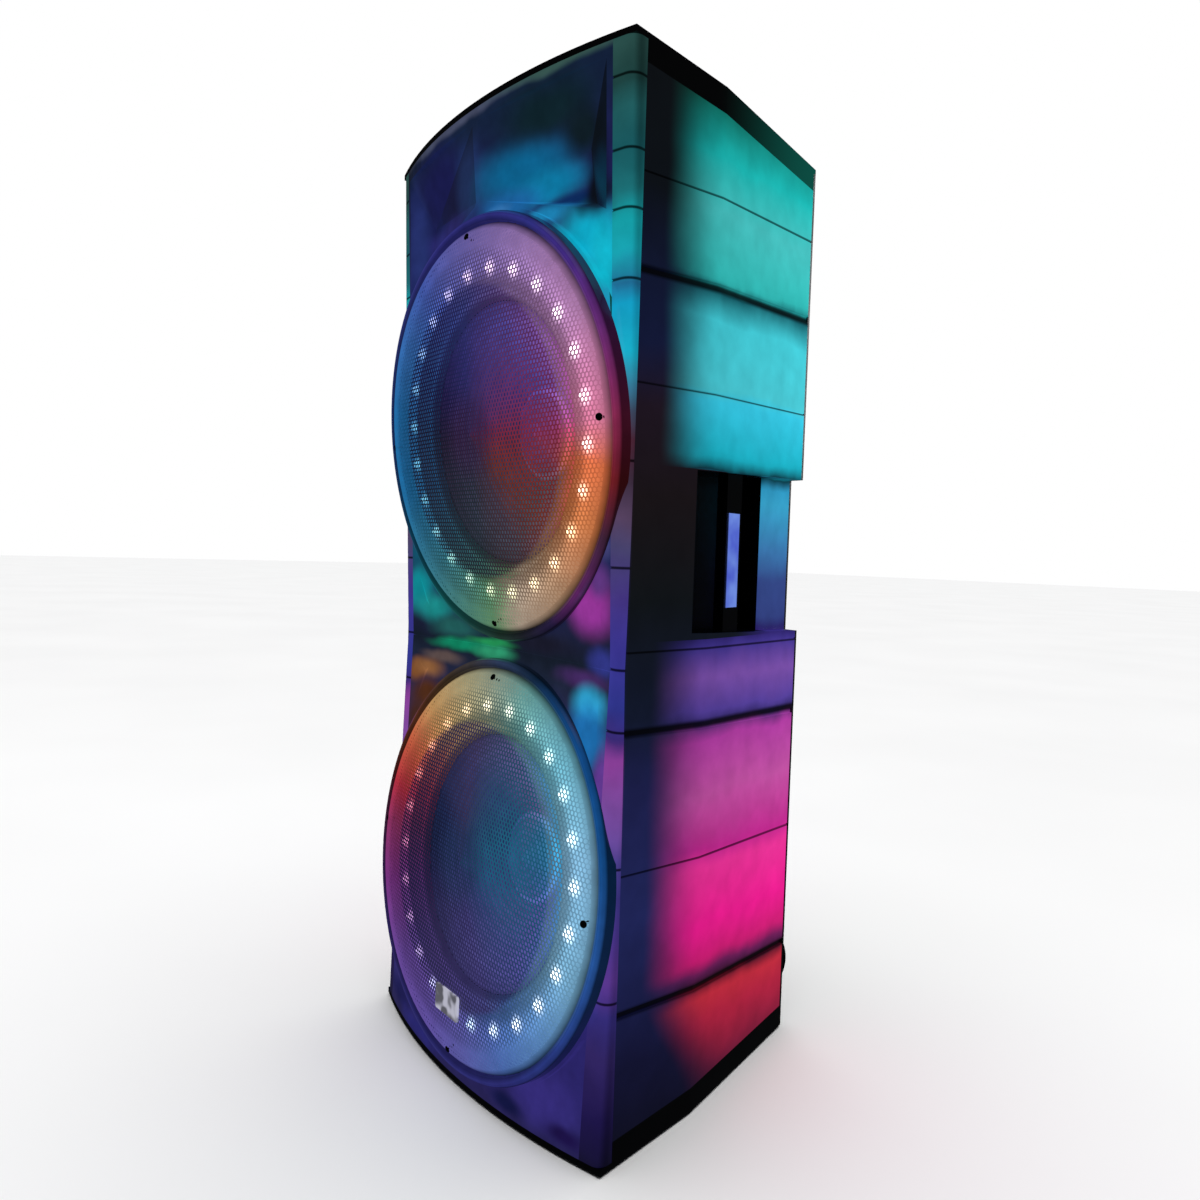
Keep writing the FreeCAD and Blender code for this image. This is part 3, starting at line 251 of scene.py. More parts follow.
@dataclass(frozen=True)
class MouldedPlastic:
    """Injection-moulded ABS: a fine even grain from the tool, and slightly uneven gloss."""

    name: str
    colour: str
    worn: str
    roughness: float = 0.5
    grain: Grain = Grain.SPARKED
    grain_size: float = 0.9 * MM
    panel_light_spill: str = ""
    panel_light_reach: tuple[float, float] = (-0.05, 0.19)

    def material(self) -> bpy.types.Material:
        """Makes the material."""
        made = Surface(self.name, IOR=1.53)
        lumps = made.noise(60 * MM, 4.0)
        patches = made.remap(lumps, (0.35, 0.7), (0.0, 1.0))
        made.paint(made.blend(patches, linear(self.colour), linear(self.worn)))
        spread = (self.roughness - 0.06, self.roughness + 0.08)
        made.feed("Roughness", made.remap(lumps, NOISE_RANGE, spread))
        grain = made.noise(self.grain_size, 2.0, 3.0)
        depths = {Grain.POLISHED: 0.01 * MM, Grain.SPARKED: 0.06 * MM, Grain.TEXTURED: 0.15 * MM}
        made.bump(grain, depths[self.grain])
        # painted light: the side panels' glow painted on the sideways faces, growing towards the back
        if self.panel_light_spill:
            spot = made.add("SeparateXYZ", None, {0: made.place})
            facing = made.add("SeparateXYZ", None, {0: made.add("NewGeometry").outputs["True Normal"]})
            outward = made.add("Math", UNSIGNED, {0: facing.outputs["X"]})
            sideways = made.remap(outward, (0.6, 0.9), (0.0, 1.0))
            towards_back = made.remap(spot.outputs["Y"], self.panel_light_reach, (0.0, 1.0), True)
            share = made.add("Math", TIMES, {0: sideways, 1: towards_back})
            made.glow(linear(self.panel_light_spill), share)
        return made.material


@dataclass(frozen=True)
class CoatedSteel:
    """Powder-coated or plated steel: an orange-peel skin over metal."""

    name: str
    colour: str
    shade: str
    metallic: float = 0.0
    roughness: float = 0.4
    peel: float = 1.6 * MM

    def material(self) -> bpy.types.Material:
        """Makes the material."""
        made = Surface(self.name, Metallic=self.metallic)
        lumps = made.noise(25 * MM, 3.0, 1.0)
        share = made.remap(lumps, NOISE_RANGE, (0.0, 1.0))
        made.paint(made.blend(share, linear(self.colour), linear(self.shade)))
        made.feed("Roughness", made.remap(lumps, NOISE_RANGE, (self.roughness - 0.08, self.roughness + 0.1)))
        made.bump(made.noise(self.peel, 1.0, 5.0), 0.05 * MM)
        return made.material


@dataclass(frozen=True)
class TurnedMetal:
    """Steel or copper with fine rings left by turning or winding about a straight axis."""

    name: str
    colour: str
    shade: str
    metallic: float = 1.0
    roughness: float = 0.3
    pitch: float = 1.2 * MM
    about_x: bool = False
    sheen: float = 0.0

    def material(self) -> bpy.types.Material:
        """Makes the material."""
        made = Surface(self.name, Metallic=self.metallic, Roughness=self.roughness)
        direction = "X" if self.about_x else "Y"
        settings = {"wave_type": "BANDS", "bands_direction": direction}
        inputs = {"Vector": made.place, "Scale": BAND_SCALE / self.pitch, "Distortion": 0.4, "Detail": 1.0}
        rings = made.add("TexWave", settings, inputs)
        stain = made.remap(made.noise(18 * MM, 4.0, 2.0), (0.35, 0.7), (0.0, 1.0))
        made.paint(made.blend(stain, linear(self.colour), linear(self.shade)))
        # painted sheen: soft clouds of glow in the metal's own colour
        if self.sheen:
            clouds = made.noise(16 * MM, 1.0, 17.0)
            painted_sheen_streaks = made.remap(clouds, (0.4, 0.6), (0.2 * self.sheen, self.sheen), True)
            made.glow(linear(self.colour), painted_sheen_streaks)
        made.bump(rings, 0.06 * MM)
        return made.material


@dataclass(frozen=True)
class MouldedRubber:
    """Moulded nitrile rubber: matt, a little dusty in random patches."""

    name: str
    colour: str
    dust: str
    ribs: float = 0.0

    def material(self) -> bpy.types.Material:
        """Makes the material; ribs is the spacing of moulded ribs across, or 0 for none."""
        made = Surface(self.name, IOR=1.52)
        lumps = made.noise(9 * MM, 5.0, 4.0)
        dusty = made.remap(lumps, (0.5, 0.8), (0.0, 1.0))
        made.paint(made.blend(dusty, linear(self.colour), linear(self.dust)))
        made.feed("Roughness", made.remap(lumps, NOISE_RANGE, (0.62, 0.8)))
        height = made.noise(0.7 * MM, 2.0, 6.0)
        depth = 0.05 * MM
        if self.ribs:
            settings = {"wave_type": "BANDS", "bands_direction": "X"}
            height = made.add("TexWave", settings, {"Vector": made.place, "Scale": BAND_SCALE / self.ribs})
            depth = 0.5 * MM
        made.bump(height, depth)
        return made.material


@dataclass(frozen=True)
class PressedBoard:
    """Particle board: pale and dark wood flakes pressed together."""

    name: str
    pale: str
    dark: str
    flake: float = 5 * MM

    def material(self) -> bpy.types.Material:
        """Makes the material."""
        made = Surface(self.name, Roughness=0.85)
        stretched = made.add("Mapping", None, {"Vector": made.place, "Scale": (1.0, 2.2, 0.6)})
        inputs = {"Vector": stretched, "Scale": 1 / self.flake}
        flakes = made.add("TexVoronoi", {"feature": "F1"}, inputs)
        tone = made.add("SeparateColor", None, {0: flakes.outputs["Color"]})
        made.paint(made.blend(tone, linear(self.pale), linear(self.dark)))
        made.bump(flakes, 0.3 * MM)
        return made.material


@dataclass(frozen=True)
class WovenCloth:
    """Cotton cloth stiffened with resin: crossed threads and a tan sheen."""

    name: str
    thread: str
    gap: str
    spacing: float = 1.4 * MM

    def material(self) -> bpy.types.Material:
        """Makes the material; the threads are drawn about twice as coarse as real, so that they show."""
        made = Surface(self.name, Roughness=0.8)
        waves = []
        for direction in ("X", "Z"):
            settings = {"wave_type": "BANDS", "bands_direction": direction}
            inputs = {"Vector": made.place, "Scale": BAND_SCALE / self.spacing}
            waves.append(made.add("TexWave", settings, inputs).outputs["Fac"])
        weave = made.add("Math", {"operation": "MAXIMUM"}, {0: waves[0], 1: waves[1]})
        made.paint(made.blend(weave, linear(self.gap), linear(self.thread)))
        made.bump(weave, 0.15 * MM)
        return made.material


@dataclass(frozen=True)
class CircuitBoard:
    """Fibreglass board under solder mask: copper tracks show as paler lines."""

    name: str
    mask: str
    track: str
    spacing: float = 4 * MM

    def material(self) -> bpy.types.Material:
        """Makes the material."""
        made = Surface(self.name, Roughness=0.35, Coat_Weight=0.4)
        settings = {"distance": "CHEBYCHEV", "feature": "F1"}
        cells = made.add("TexVoronoi", settings, {"Vector": made.place, "Scale": 1 / self.spacing})
        lines = made.remap(cells, (0.3, 0.36), (1.0, 0.0))
        made.paint(made.blend(lines, linear(self.mask), linear(self.track)))
        made.bump(lines, 0.04 * MM)
        return made.material


@dataclass(frozen=True)
class LitLens:
    """Clear acrylic over a light: brightest in the middle of its grain, with a soft milky tint."""

    name: str
    core: str
    edge: str
    strength: float = 3.0
    size: float = 9 * MM

    def material(self) -> bpy.types.Material:
        """Makes the material."""
        made = Surface(self.name, Roughness=0.15, IOR=1.49, Base_Color=linear("808088"))
        haze = made.remap(made.noise(self.size, 2.0, 7.0), (0.35, 0.65), (0.0, 1.0))
        made.glow(made.blend(haze, linear(self.core), linear(self.edge)), self.strength)
        return made.material


@dataclass(frozen=True)
class LightGuide:
    """Side panels: translucent acrylic lit from behind, so its colour drifts from seam to seam.

    The seams fan out towards the back, and the colours follow them. Heights are those at the front. Painted
    shade darkens the front, the bottom, the band beside the handle cups and the seams.
    """

    name: str = "lit_acrylic_side"
    apex: float = 0.560
    spread: float = 0.1
    front: float = -0.1695
    depth: float = 0.360
    height: float = 1.05
    shade_share: tuple[float, float] = (0.135, 0.415)
    low_shade: tuple[float, float] = (0.03, 0.17)
    low_shade_shift: float = -0.22
    cup_levels: tuple[float, float] = (0.503, 0.668)
    cup_shade_shift: float = -0.4
    # the lit stops also hold painted shade: dark bands at the seams and at the top and bottom edges
    lit: Stops = (
        (0.030, "30102c"), (0.060, "6a1634"), (0.110, "a81f3c"), (0.137, "b8283a"), (0.152, "2a0c22"),
        (0.163, "5c1a50"), (0.178, "c4196e"), (0.215, "e3188a"), (0.272, "df2f90"), (0.290, "b82488"),
        (0.350, "b84d9b"), (0.402, "a8399a"), (0.419, "2c235f"), (0.430, "503c94"), (0.465, "724a9e"),
        (0.494, "3d3186"), (0.506, "241a5c"), (0.520, "2e3c78"), (0.560, "30437f"), (0.590, "3871a8"),
        (0.640, "3398be"), (0.657, "2c90b8"), (0.668, "062c38"), (0.682, "18acc0"), (0.735, "34c2de"),
        (0.746, "46c2ce"), (0.812, "40c4d0"), (0.842, "084a54"), (0.854, "30b8b4"), (0.915, "44bcbb"),
        (0.965, "18b4b0"), (1.018, "0a6250"),
    )
    # painted shade: the colours where the panel is shaded, towards its front
    dark: Stops = (
        (0.0, "0a0a18"), (0.10, "111232"), (0.24, "20265a"), (0.36, "1c1f4c"), (0.43, "10172c"),
        (0.54, "0e1216"), (0.64, "181215"), (0.72, "1e1420"), (0.78, "121838"), (0.82, "101734"),
        (0.92, "090e14"), (1.02, "0a0e12"),
    )
    fine_seams: tuple[float, ...] = (0.285, 0.494, 0.741, 0.928)
    wide_seams: tuple[float, ...] = (0.152, 0.419, 0.842)

    def material(self) -> bpy.types.Material:
        """Makes the material."""
        made = Surface(self.name, Roughness=0.3, IOR=1.49, Base_Color=linear("101014"))
        made.shader.inputs["Coat Weight"].default_value = 0.15
        spot = made.add("SeparateXYZ", None, {0: made.place})
        depth_range = (self.front, self.front + self.depth)
        along = made.remap(spot.outputs["Y"], depth_range, (0.0, 1.0))
        lift = self.spread * self.apex
        rise = made.add("Math", TIMES_PLUS, {0: along, 1: lift, 2: spot.outputs["Z"]})
        stretch = made.add("Math", TIMES_PLUS, {0: along, 1: self.spread, 2: 1.0})
        level = made.add("Math", OVER, {0: rise, 1: stretch})
        share = made.add("Math", OVER, {0: level, 1: self.height})
        smoke = made.noise(70 * MM, 3.0, 8.0)
        wander = made.remap(smoke, NOISE_RANGE, (-0.004, 0.004))
        share_in_smoke = made.add("Math", PLUS, {0: share, 1: wander})
        lit = made.add("ValToRGB", {"stops": self.shares(self.lit)}, {0: share_in_smoke})
        dark = made.add("ValToRGB", {"stops": self.shares(self.dark)}, {0: share_in_smoke})
        # painted shade: the front part is darkened, farther back near the bottom and beside the handle cups
        ragged = made.remap(made.noise(90 * MM, 2.0, 9.0), NOISE_RANGE, (-0.012, 0.012))
        shade_at = made.add("Math", PLUS, {0: along, 1: ragged})
        low = made.remap(level, self.low_shade, (self.low_shade_shift, 0.0), True)
        above_cup = made.add("Math", {"operation": "GREATER_THAN"}, {0: level, 1: self.cup_levels[0]})
        below_cup = made.add("Math", {"operation": "LESS_THAN"}, {0: level, 1: self.cup_levels[1]})
        cup_shade_band = made.add("Math", TIMES, {0: above_cup, 1: below_cup})
        shade_shift = made.add("Math", TIMES_PLUS, {0: cup_shade_band, 1: self.cup_shade_shift, 2: low})
        shifted = made.add("Math", PLUS, {0: shade_at, 1: shade_shift})
        lit_share = made.remap(shifted, self.shade_share, (0.0, 1.0), True)
        colour = made.blend(lit_share, dark, lit)
        # painted shade along the seams
        for places, half, depth in ((self.fine_seams, 0.8 * MM, 0.16), (self.wide_seams, 3.2 * MM, 0.07)):
            colour = made.blend(1.0, colour, made.dark_lines(level, places, half, depth), "MULTIPLY")
        farther = made.remap(along, (0.25, 0.95), (0.88, 1.14))
        folds = made.remap(made.noise(28 * MM, 4.0, 10.0), NOISE_RANGE, (0.9, 1.08))
        made.glow(colour, made.add("Math", TIMES, {0: folds, 1: farther}))
        made.bump(made.noise(1.2 * MM, 2.0, 11.0), 0.03 * MM)
        return made.material

    def shares(self, stops: Stops) -> Stops:
        """The stops with their heights as shares of the whole height."""
        return tuple((z / self.height, colour) for z, colour in stops)


@dataclass(frozen=True)
class CornerStrip:
    """Corner trims: clear-coated acrylic, with the lights' colours painted down its length as glow, darker
    towards the outer edge.
    """

    name: str = "lit_acrylic_corner"
    height: float = 1.05
    painted_light_tints: Stops = (
        (0.010, "120f2c"), (0.050, "1d1448"), (0.110, "302460"), (0.150, "352d7a"), (0.190, "5c3890"),
        (0.225, "483488"), (0.262, "3e3684"), (0.292, "4a4090"), (0.315, "6a4a9c"), (0.350, "7e4a9e"),
        (0.392, "8a3f98"), (0.412, "3a2a74"),
        (0.440, "2f358c"), (0.500, "3a3590"), (0.545, "42337f"), (0.590, "48436e"), (0.615, "564260"),
        (0.650, "3c2c3e"), (0.690, "4a2434"), (0.712, "3e4860"), (0.738, "387898"), (0.770, "18b0cc"),
        (0.812, "12a0c8"), (0.832, "206a94"), (0.860, "16a2b0"), (0.888, "14a0a8"), (0.912, "1a6a70"),
        (0.948, "18585e"), (0.985, "205c5e"), (1.010, "1c403e"), (1.040, "284c48"),
    )
    seams: tuple[float, ...] = (1.011, 0.947, 0.895, 0.833, 0.670, 0.572, 0.477, 0.419, 0.291, 0.164)
    corner_fade: tuple[float, float] = (0.2185, 0.2242)

    def material(self) -> bpy.types.Material:
        """Makes the material."""
        made = Surface(self.name, Roughness=0.22, IOR=1.49, Base_Color=linear("121218"))
        made.shader.inputs["Coat Weight"].default_value = 0.25
        spot = made.add("SeparateXYZ", None, {0: made.place})
        wander = made.remap(made.noise(55 * MM, 3.0, 12.0), NOISE_RANGE, (-0.006, 0.006))
        share = made.add("Math", OVER, {0: spot.outputs["Z"], 1: self.height})
        drifted = made.add("Math", PLUS, {0: share, 1: wander})
        stops = tuple((z / self.height, colour) for z, colour in self.painted_light_tints)
        light_tint = made.add("ValToRGB", {"stops": stops}, {0: drifted})
        edge = made.add("Math", UNSIGNED, {0: spot.outputs["X"]})
        fade = made.remap(edge, self.corner_fade, (1.0, 0.04), True)
        lines = made.dark_lines(spot.outputs["Z"], self.seams, 1.0 * MM, 0.1)
        kept = made.add("Math", TIMES, {0: fade, 1: lines})
        drift = made.remap(made.noise(30 * MM), NOISE_RANGE, (0.86, 1.08))
        made.glow(made.blend(1.0, light_tint, kept, "MULTIPLY"), drift)
        made.bump(made.noise(2 * MM, 2.0, 13.0), 0.02 * MM)
        return made.material


@dataclass(frozen=True)
class Patch:
    """A soft patch of painted reflection on the front, the darkest ones painted shade, seen from ahead:
    middle, half sizes and colour.
    """

    x: float
    z: float
    half_wide: float
    half_tall: float
    colour: str


@dataclass(frozen=True)
class FacetedFront:
    """Front mouldings: metallised gloss ABS; the coloured lights its facets mirror are painted on as glow,
    with painted shade on some facets.
    """

    name: str = "metallised_faceted_front"
    height: float = 1.05
    # the lights' reflected colour by height, painted as glow
    painted_light_tints: Stops = (
        (0.009, "24204f"), (0.060, "2a2468"), (0.300, "262060"), (0.400, "2b2a52"), (0.455, "1a2236"),
        (0.474, "121a28"), (0.500, "1b1f3c"), (0.560, "1d2350"), (0.850, "262a70"), (0.960, "1a1d4c"),
        (1.030, "12203a"),
    )
    waver: float = 18 * MM
    patch_edge: tuple[float, float] = (0.25, 1.35)
    turned_in: tuple[float, float] = (-0.15, -0.28)
    crown_from: tuple[float, float] = (0.88, 0.91)
    shade: str = "04060a"
    patches: tuple[Patch, ...] = (
        Patch(-0.115, 1.000, 0.085, 0.045, "15174a"),
        Patch(-0.030, 0.975, 0.040, 0.045, "243c72"),
        Patch(-0.105, 0.947, 0.070, 0.017, "2e2a74"),
        Patch(-0.180, 0.950, 0.020, 0.070, "24306a"),
        Patch(0.062, 0.965, 0.076, 0.034, "09608c"),
        Patch(0.102, 0.942, 0.052, 0.022, "0a7aa6"),
        Patch(0.045, 0.930, 0.050, 0.022, "1a62a0"),
        Patch(0.030, 0.929, 0.024, 0.008, "3474b2"),
        Patch(0.105, 1.012, 0.080, 0.026, "0c222a"),
        Patch(0.145, 0.985, 0.034, 0.026, "0d1c24"),
        Patch(0.140, 0.919, 0.046, 0.010, "0a2a5c"),
        Patch(0.188, 0.812, 0.018, 0.020, "239ac6"),
        Patch(0.108, 0.909, 0.036, 0.010, "1c86ba"),
        Patch(0.168, 0.880, 0.050, 0.032, "0ba4c2"),
        Patch(0.190, 0.850, 0.022, 0.044, "10b4cc"),
        Patch(-0.060, 1.044, 0.200, 0.007, "444a62"),
        Patch(0.140, 1.044, 0.110, 0.007, "36544f"),
        Patch(-0.183, 0.536, 0.034, 0.034, "0c8892"),
        Patch(-0.150, 0.512, 0.044, 0.018, "188584"),
        Patch(-0.110, 0.490, 0.052, 0.014, "1f5a58"),
        Patch(-0.190, 0.582, 0.016, 0.020, "0e5068"),
        Patch(0.190, 0.592, 0.014, 0.014, "42447a"),
        Patch(-0.190, 0.432, 0.022, 0.014, "7c4a26"),
        Patch(-0.164, 0.030, 0.048, 0.014, "17164e"),
        Patch(0.128, 0.070, 0.034, 0.014, "1f1f5a"),
        Patch(-0.036, 0.478, 0.050, 0.006, "1f8a50"),
        Patch(0.184, 0.480, 0.028, 0.016, "2f3584"),
        Patch(0.165, 0.532, 0.046, 0.030, "963598"),
        Patch(0.180, 0.560, 0.020, 0.018, "5e357e"),
        Patch(0.062, 0.488, 0.080, 0.012, "17182a"),
        Patch(-0.095, 0.470, 0.066, 0.008, "0c8460"),
        Patch(-0.030, 0.467, 0.044, 0.008, "2c966c"),
        Patch(-0.135, 0.453, 0.044, 0.008, "5c4c4a"),
        Patch(-0.165, 0.436, 0.038, 0.013, "8a5c38"),
        Patch(-0.160, 0.404, 0.044, 0.022, "4e2a16"),
        Patch(-0.182, 0.375, 0.026, 0.030, "42251e"),
        Patch(0.150, 0.460, 0.052, 0.011, "422860"),
        Patch(0.164, 0.436, 0.032, 0.020, "30aad6"),
        Patch(0.164, 0.408, 0.036, 0.034, "1c6eb0"),
        Patch(0.193, 0.370, 0.014, 0.034, "643a94"),
        Patch(0.150, 0.048, 0.050, 0.034, "352c7a"),
        Patch(0.182, 0.022, 0.026, 0.010, "1a0f44"),
        Patch(-0.090, 0.018, 0.060, 0.012, "25236a"),
        Patch(0.098, 0.022, 0.024, 0.010, "10133f"),
        Patch(0.174, 0.948, 0.024, 0.036, "070a10"),
        Patch(0.180, 0.915, 0.030, 0.018, "0b1424"),
        Patch(0.162, 0.925, 0.012, 0.026, "080d18"),
    )

    def material(self) -> bpy.types.Material:
        """Makes the material."""
        made = Surface(self.name, Roughness=0.2, IOR=1.5, Base_Color=linear("0c0c14"))
        made.shader.inputs["Coat Weight"].default_value = 0.2
        lumps = made.noise(60 * MM, 2.0, 14.0).outputs["Color"]
        warp = made.add("VectorMath", MINUS, {0: lumps, 1: (0.5, 0.5, 0.5)})
        scaled = made.add("VectorMath", {"operation": "SCALE"}, {0: warp, "Scale": self.waver})
        place = made.add("VectorMath", PLUS, {0: made.place, 1: scaled})
        spot = made.add("SeparateXYZ", None, {0: place})
        share = made.add("Math", OVER, {0: spot.outputs["Z"], 1: self.height})
        stops = tuple((z / self.height, colour) for z, colour in self.painted_light_tints)
        colour = made.add("ValToRGB", {"stops": stops}, {0: share}).outputs[0]
        # painted reflections: each patch paints the light that a facet mirrors, the darkest ones painted
        # shade
        for patch in self.patches:
            inputs = {
                "Vector": place,
                "Location": (patch.x, 0.0, patch.z),
                "Scale": (patch.half_wide, 1e6, patch.half_tall),
            }
            local = made.add("Mapping", {"vector_type": "TEXTURE"}, inputs)
            distance = made.add("VectorMath", LENGTH, {0: local})
            share = made.remap(distance.outputs["Value"], self.patch_edge, (1.0, 0.0), True)
            colour = made.blend(share, colour, linear(patch.colour))
        # painted shade: facets in the crown that face towards -X are darkened towards the shade colour
        facing = made.add("SeparateXYZ", None, {0: made.add("NewGeometry").outputs["True Normal"]})
        turned_in = made.remap(facing.outputs["X"], self.turned_in, (0.0, 0.95))
        in_crown = made.remap(spot.outputs["Z"], self.crown_from, (0.0, 1.0))
        shaded = made.add("Math", TIMES, {0: turned_in, 1: in_crown})
        colour = made.blend(shaded, colour, linear(self.shade))
        made.glow(colour, made.remap(made.noise(22 * MM, 3.0, 15.0), NOISE_RANGE, (0.82, 1.1)))
        made.bump(made.noise(14 * MM, 2.0, 16.0), 0.12 * MM)
        return made.material


# ---- the two rings ----
@dataclass(frozen=True)
class RingFrame:
    """Where a ring is: its middle, its forward axis and its own upward direction."""

    centre: Vector
    axis: Vector
    up: Vector

    @classmethod
    def read(cls, name: str, bezel_back: float = -10.5 * MM) -> "RingFrame":
        """Reads a ring's place from its cone's joint and its bezel.

        Args:
            name: "upper" or "lower".
            bezel_back: the bezel's back, measured along the axis from the ring's middle.

        Returns:
            The ring's frame.
        """
        joint = next(j for j in frame["joints"] if j["name"] == name + "_cone_slide")
        axis = Vector(joint["axis"]).normalized()
        up = axis.cross(Vector((1.0, 0.0, 0.0))).normalized()
        points = [v.co for v in frame["nodes"][name + "_bezel"].data.vertices]
        middle = Vector((0.0, 0.0, 0.0))
        heights = [p.dot(up) for p in points]
        middle += up * (max(heights) + min(heights)) / 2
        middle += axis * (min(p.dot(axis) for p in points) - bezel_back)
        return cls(middle, axis, up)

    def point(self, x: float, y: float, forward: float) -> Vector:
        """A point across, up and forward of the ring's middle."""
        return self.centre + Vector((x, 0.0, 0.0)) + self.up * y + self.axis * forward


@dataclass(frozen=True)
class RingPalette:
    """Colours of painted light round a ring, by clock hours: around the lights, at the lights, on the cone
    and on the bezel."""

    glow: Stops
    lamps: Stops
    cone: Stops
    bezel: Stops


UPPER_PALETTE = RingPalette(
    glow=(
        (0, "7d70be"), (1, "ac86c8"), (2, "c88ec4"), (3, "ea86aa"), (3.4, "f27c4e"), (4, "e28650"),
        (4.8, "c49a78"), (5.6, "c4b09c"), (6, "70a274"), (6.6, "58988c"), (7.3, "4592a6"), (8.4, "2684c2"),
        (9.4, "2a84ca"), (10.2, "4384d6"), (11, "526ccc"),
    ),
    lamps=(
        (0, "e4c4e6"), (1, "f6dcf2"), (2, "ffecf6"), (3, "ffe6ea"), (4, "ffd2a0"), (5, "ffe0b4"),
        (6, "dce4b4"), (7, "a0d8c8"), (8, "70bcd8"), (9, "62b4de"), (10, "78b0e2"), (11, "a4a8e0"),
    ),
    cone=(
        (0, "4a4ea6"), (1.2, "8a5cb4"), (2.3, "bc58ac"), (3, "da4a76"), (3.6, "d65054"), (4.3, "c05844"),
        (5, "785462"), (6, "44505e"), (7.5, "3c4258"), (9, "323050"), (10.4, "332e70"),
    ),
    bezel=(
        (0, "2b2b74"), (1, "2e2f7e"), (1.6, "422a80"), (2.3, "682c74"), (3, "862850"), (3.5, "701c22"),
        (4, "40243c"), (4.6, "5c2460"), (5.1, "251b3e"), (5.6, "1a1d24"), (6, "1f352c"), (7, "12504e"),
        (8, "0d425c"), (9, "1c3264"), (10.5, "2e3474"), (11.4, "302f7e"),
    ),
)
LOWER_PALETTE = RingPalette(
    glow=(
        (0, "9cac98"), (0.6, "74b4b0"), (1.5, "76c0d6"), (2.5, "8cc4e8"), (3.6, "82bce0"), (4.3, "6a9eda"),
        (5, "587ecc"), (5.7, "6a6cc0"), (6.4, "7462c0"), (7.4, "7e58b8"), (8.3, "9642a0"), (9, "ae4078"),
        (9.5, "dc3c4c"), (10.1, "ee7450"), (10.7, "e4b070"), (11.4, "c4b88c"),
    ),
    lamps=(
        (0, "f2ecd0"), (1, "dcfcf2"), (2, "d8f8fc"), (3, "f2fcff"), (4, "f0fcff"), (5, "def2ff"),
        (6, "b4d4f8"), (7, "b4a4e0"), (8, "c088c4"), (9, "d4749c"), (10, "f08c78"), (11, "f4c896"),
    ),
    cone=(
        (0, "6a5c94"), (1, "4a88bc"), (2, "38acdc"), (3, "38a4dc"), (4, "5274c2"), (5, "6056a8"),
        (6.5, "524e8c"), (8, "3a3a72"), (9.2, "263361"), (10.5, "333a70"),
    ),
    bezel=(
        (0, "2c3a58"), (0.6, "12263e"), (1.5, "124a86"), (2.5, "144c8a"), (3.3, "26549a"), (4.2, "283a82"),
        (5, "2a2b70"), (7, "2d2b6e"), (8, "33265e"), (8.8, "3c1e40"), (9.5, "461a1a"), (10.3, "5c321e"),
        (11, "3c2e20"), (11.5, "3a3638"),
    ),
)


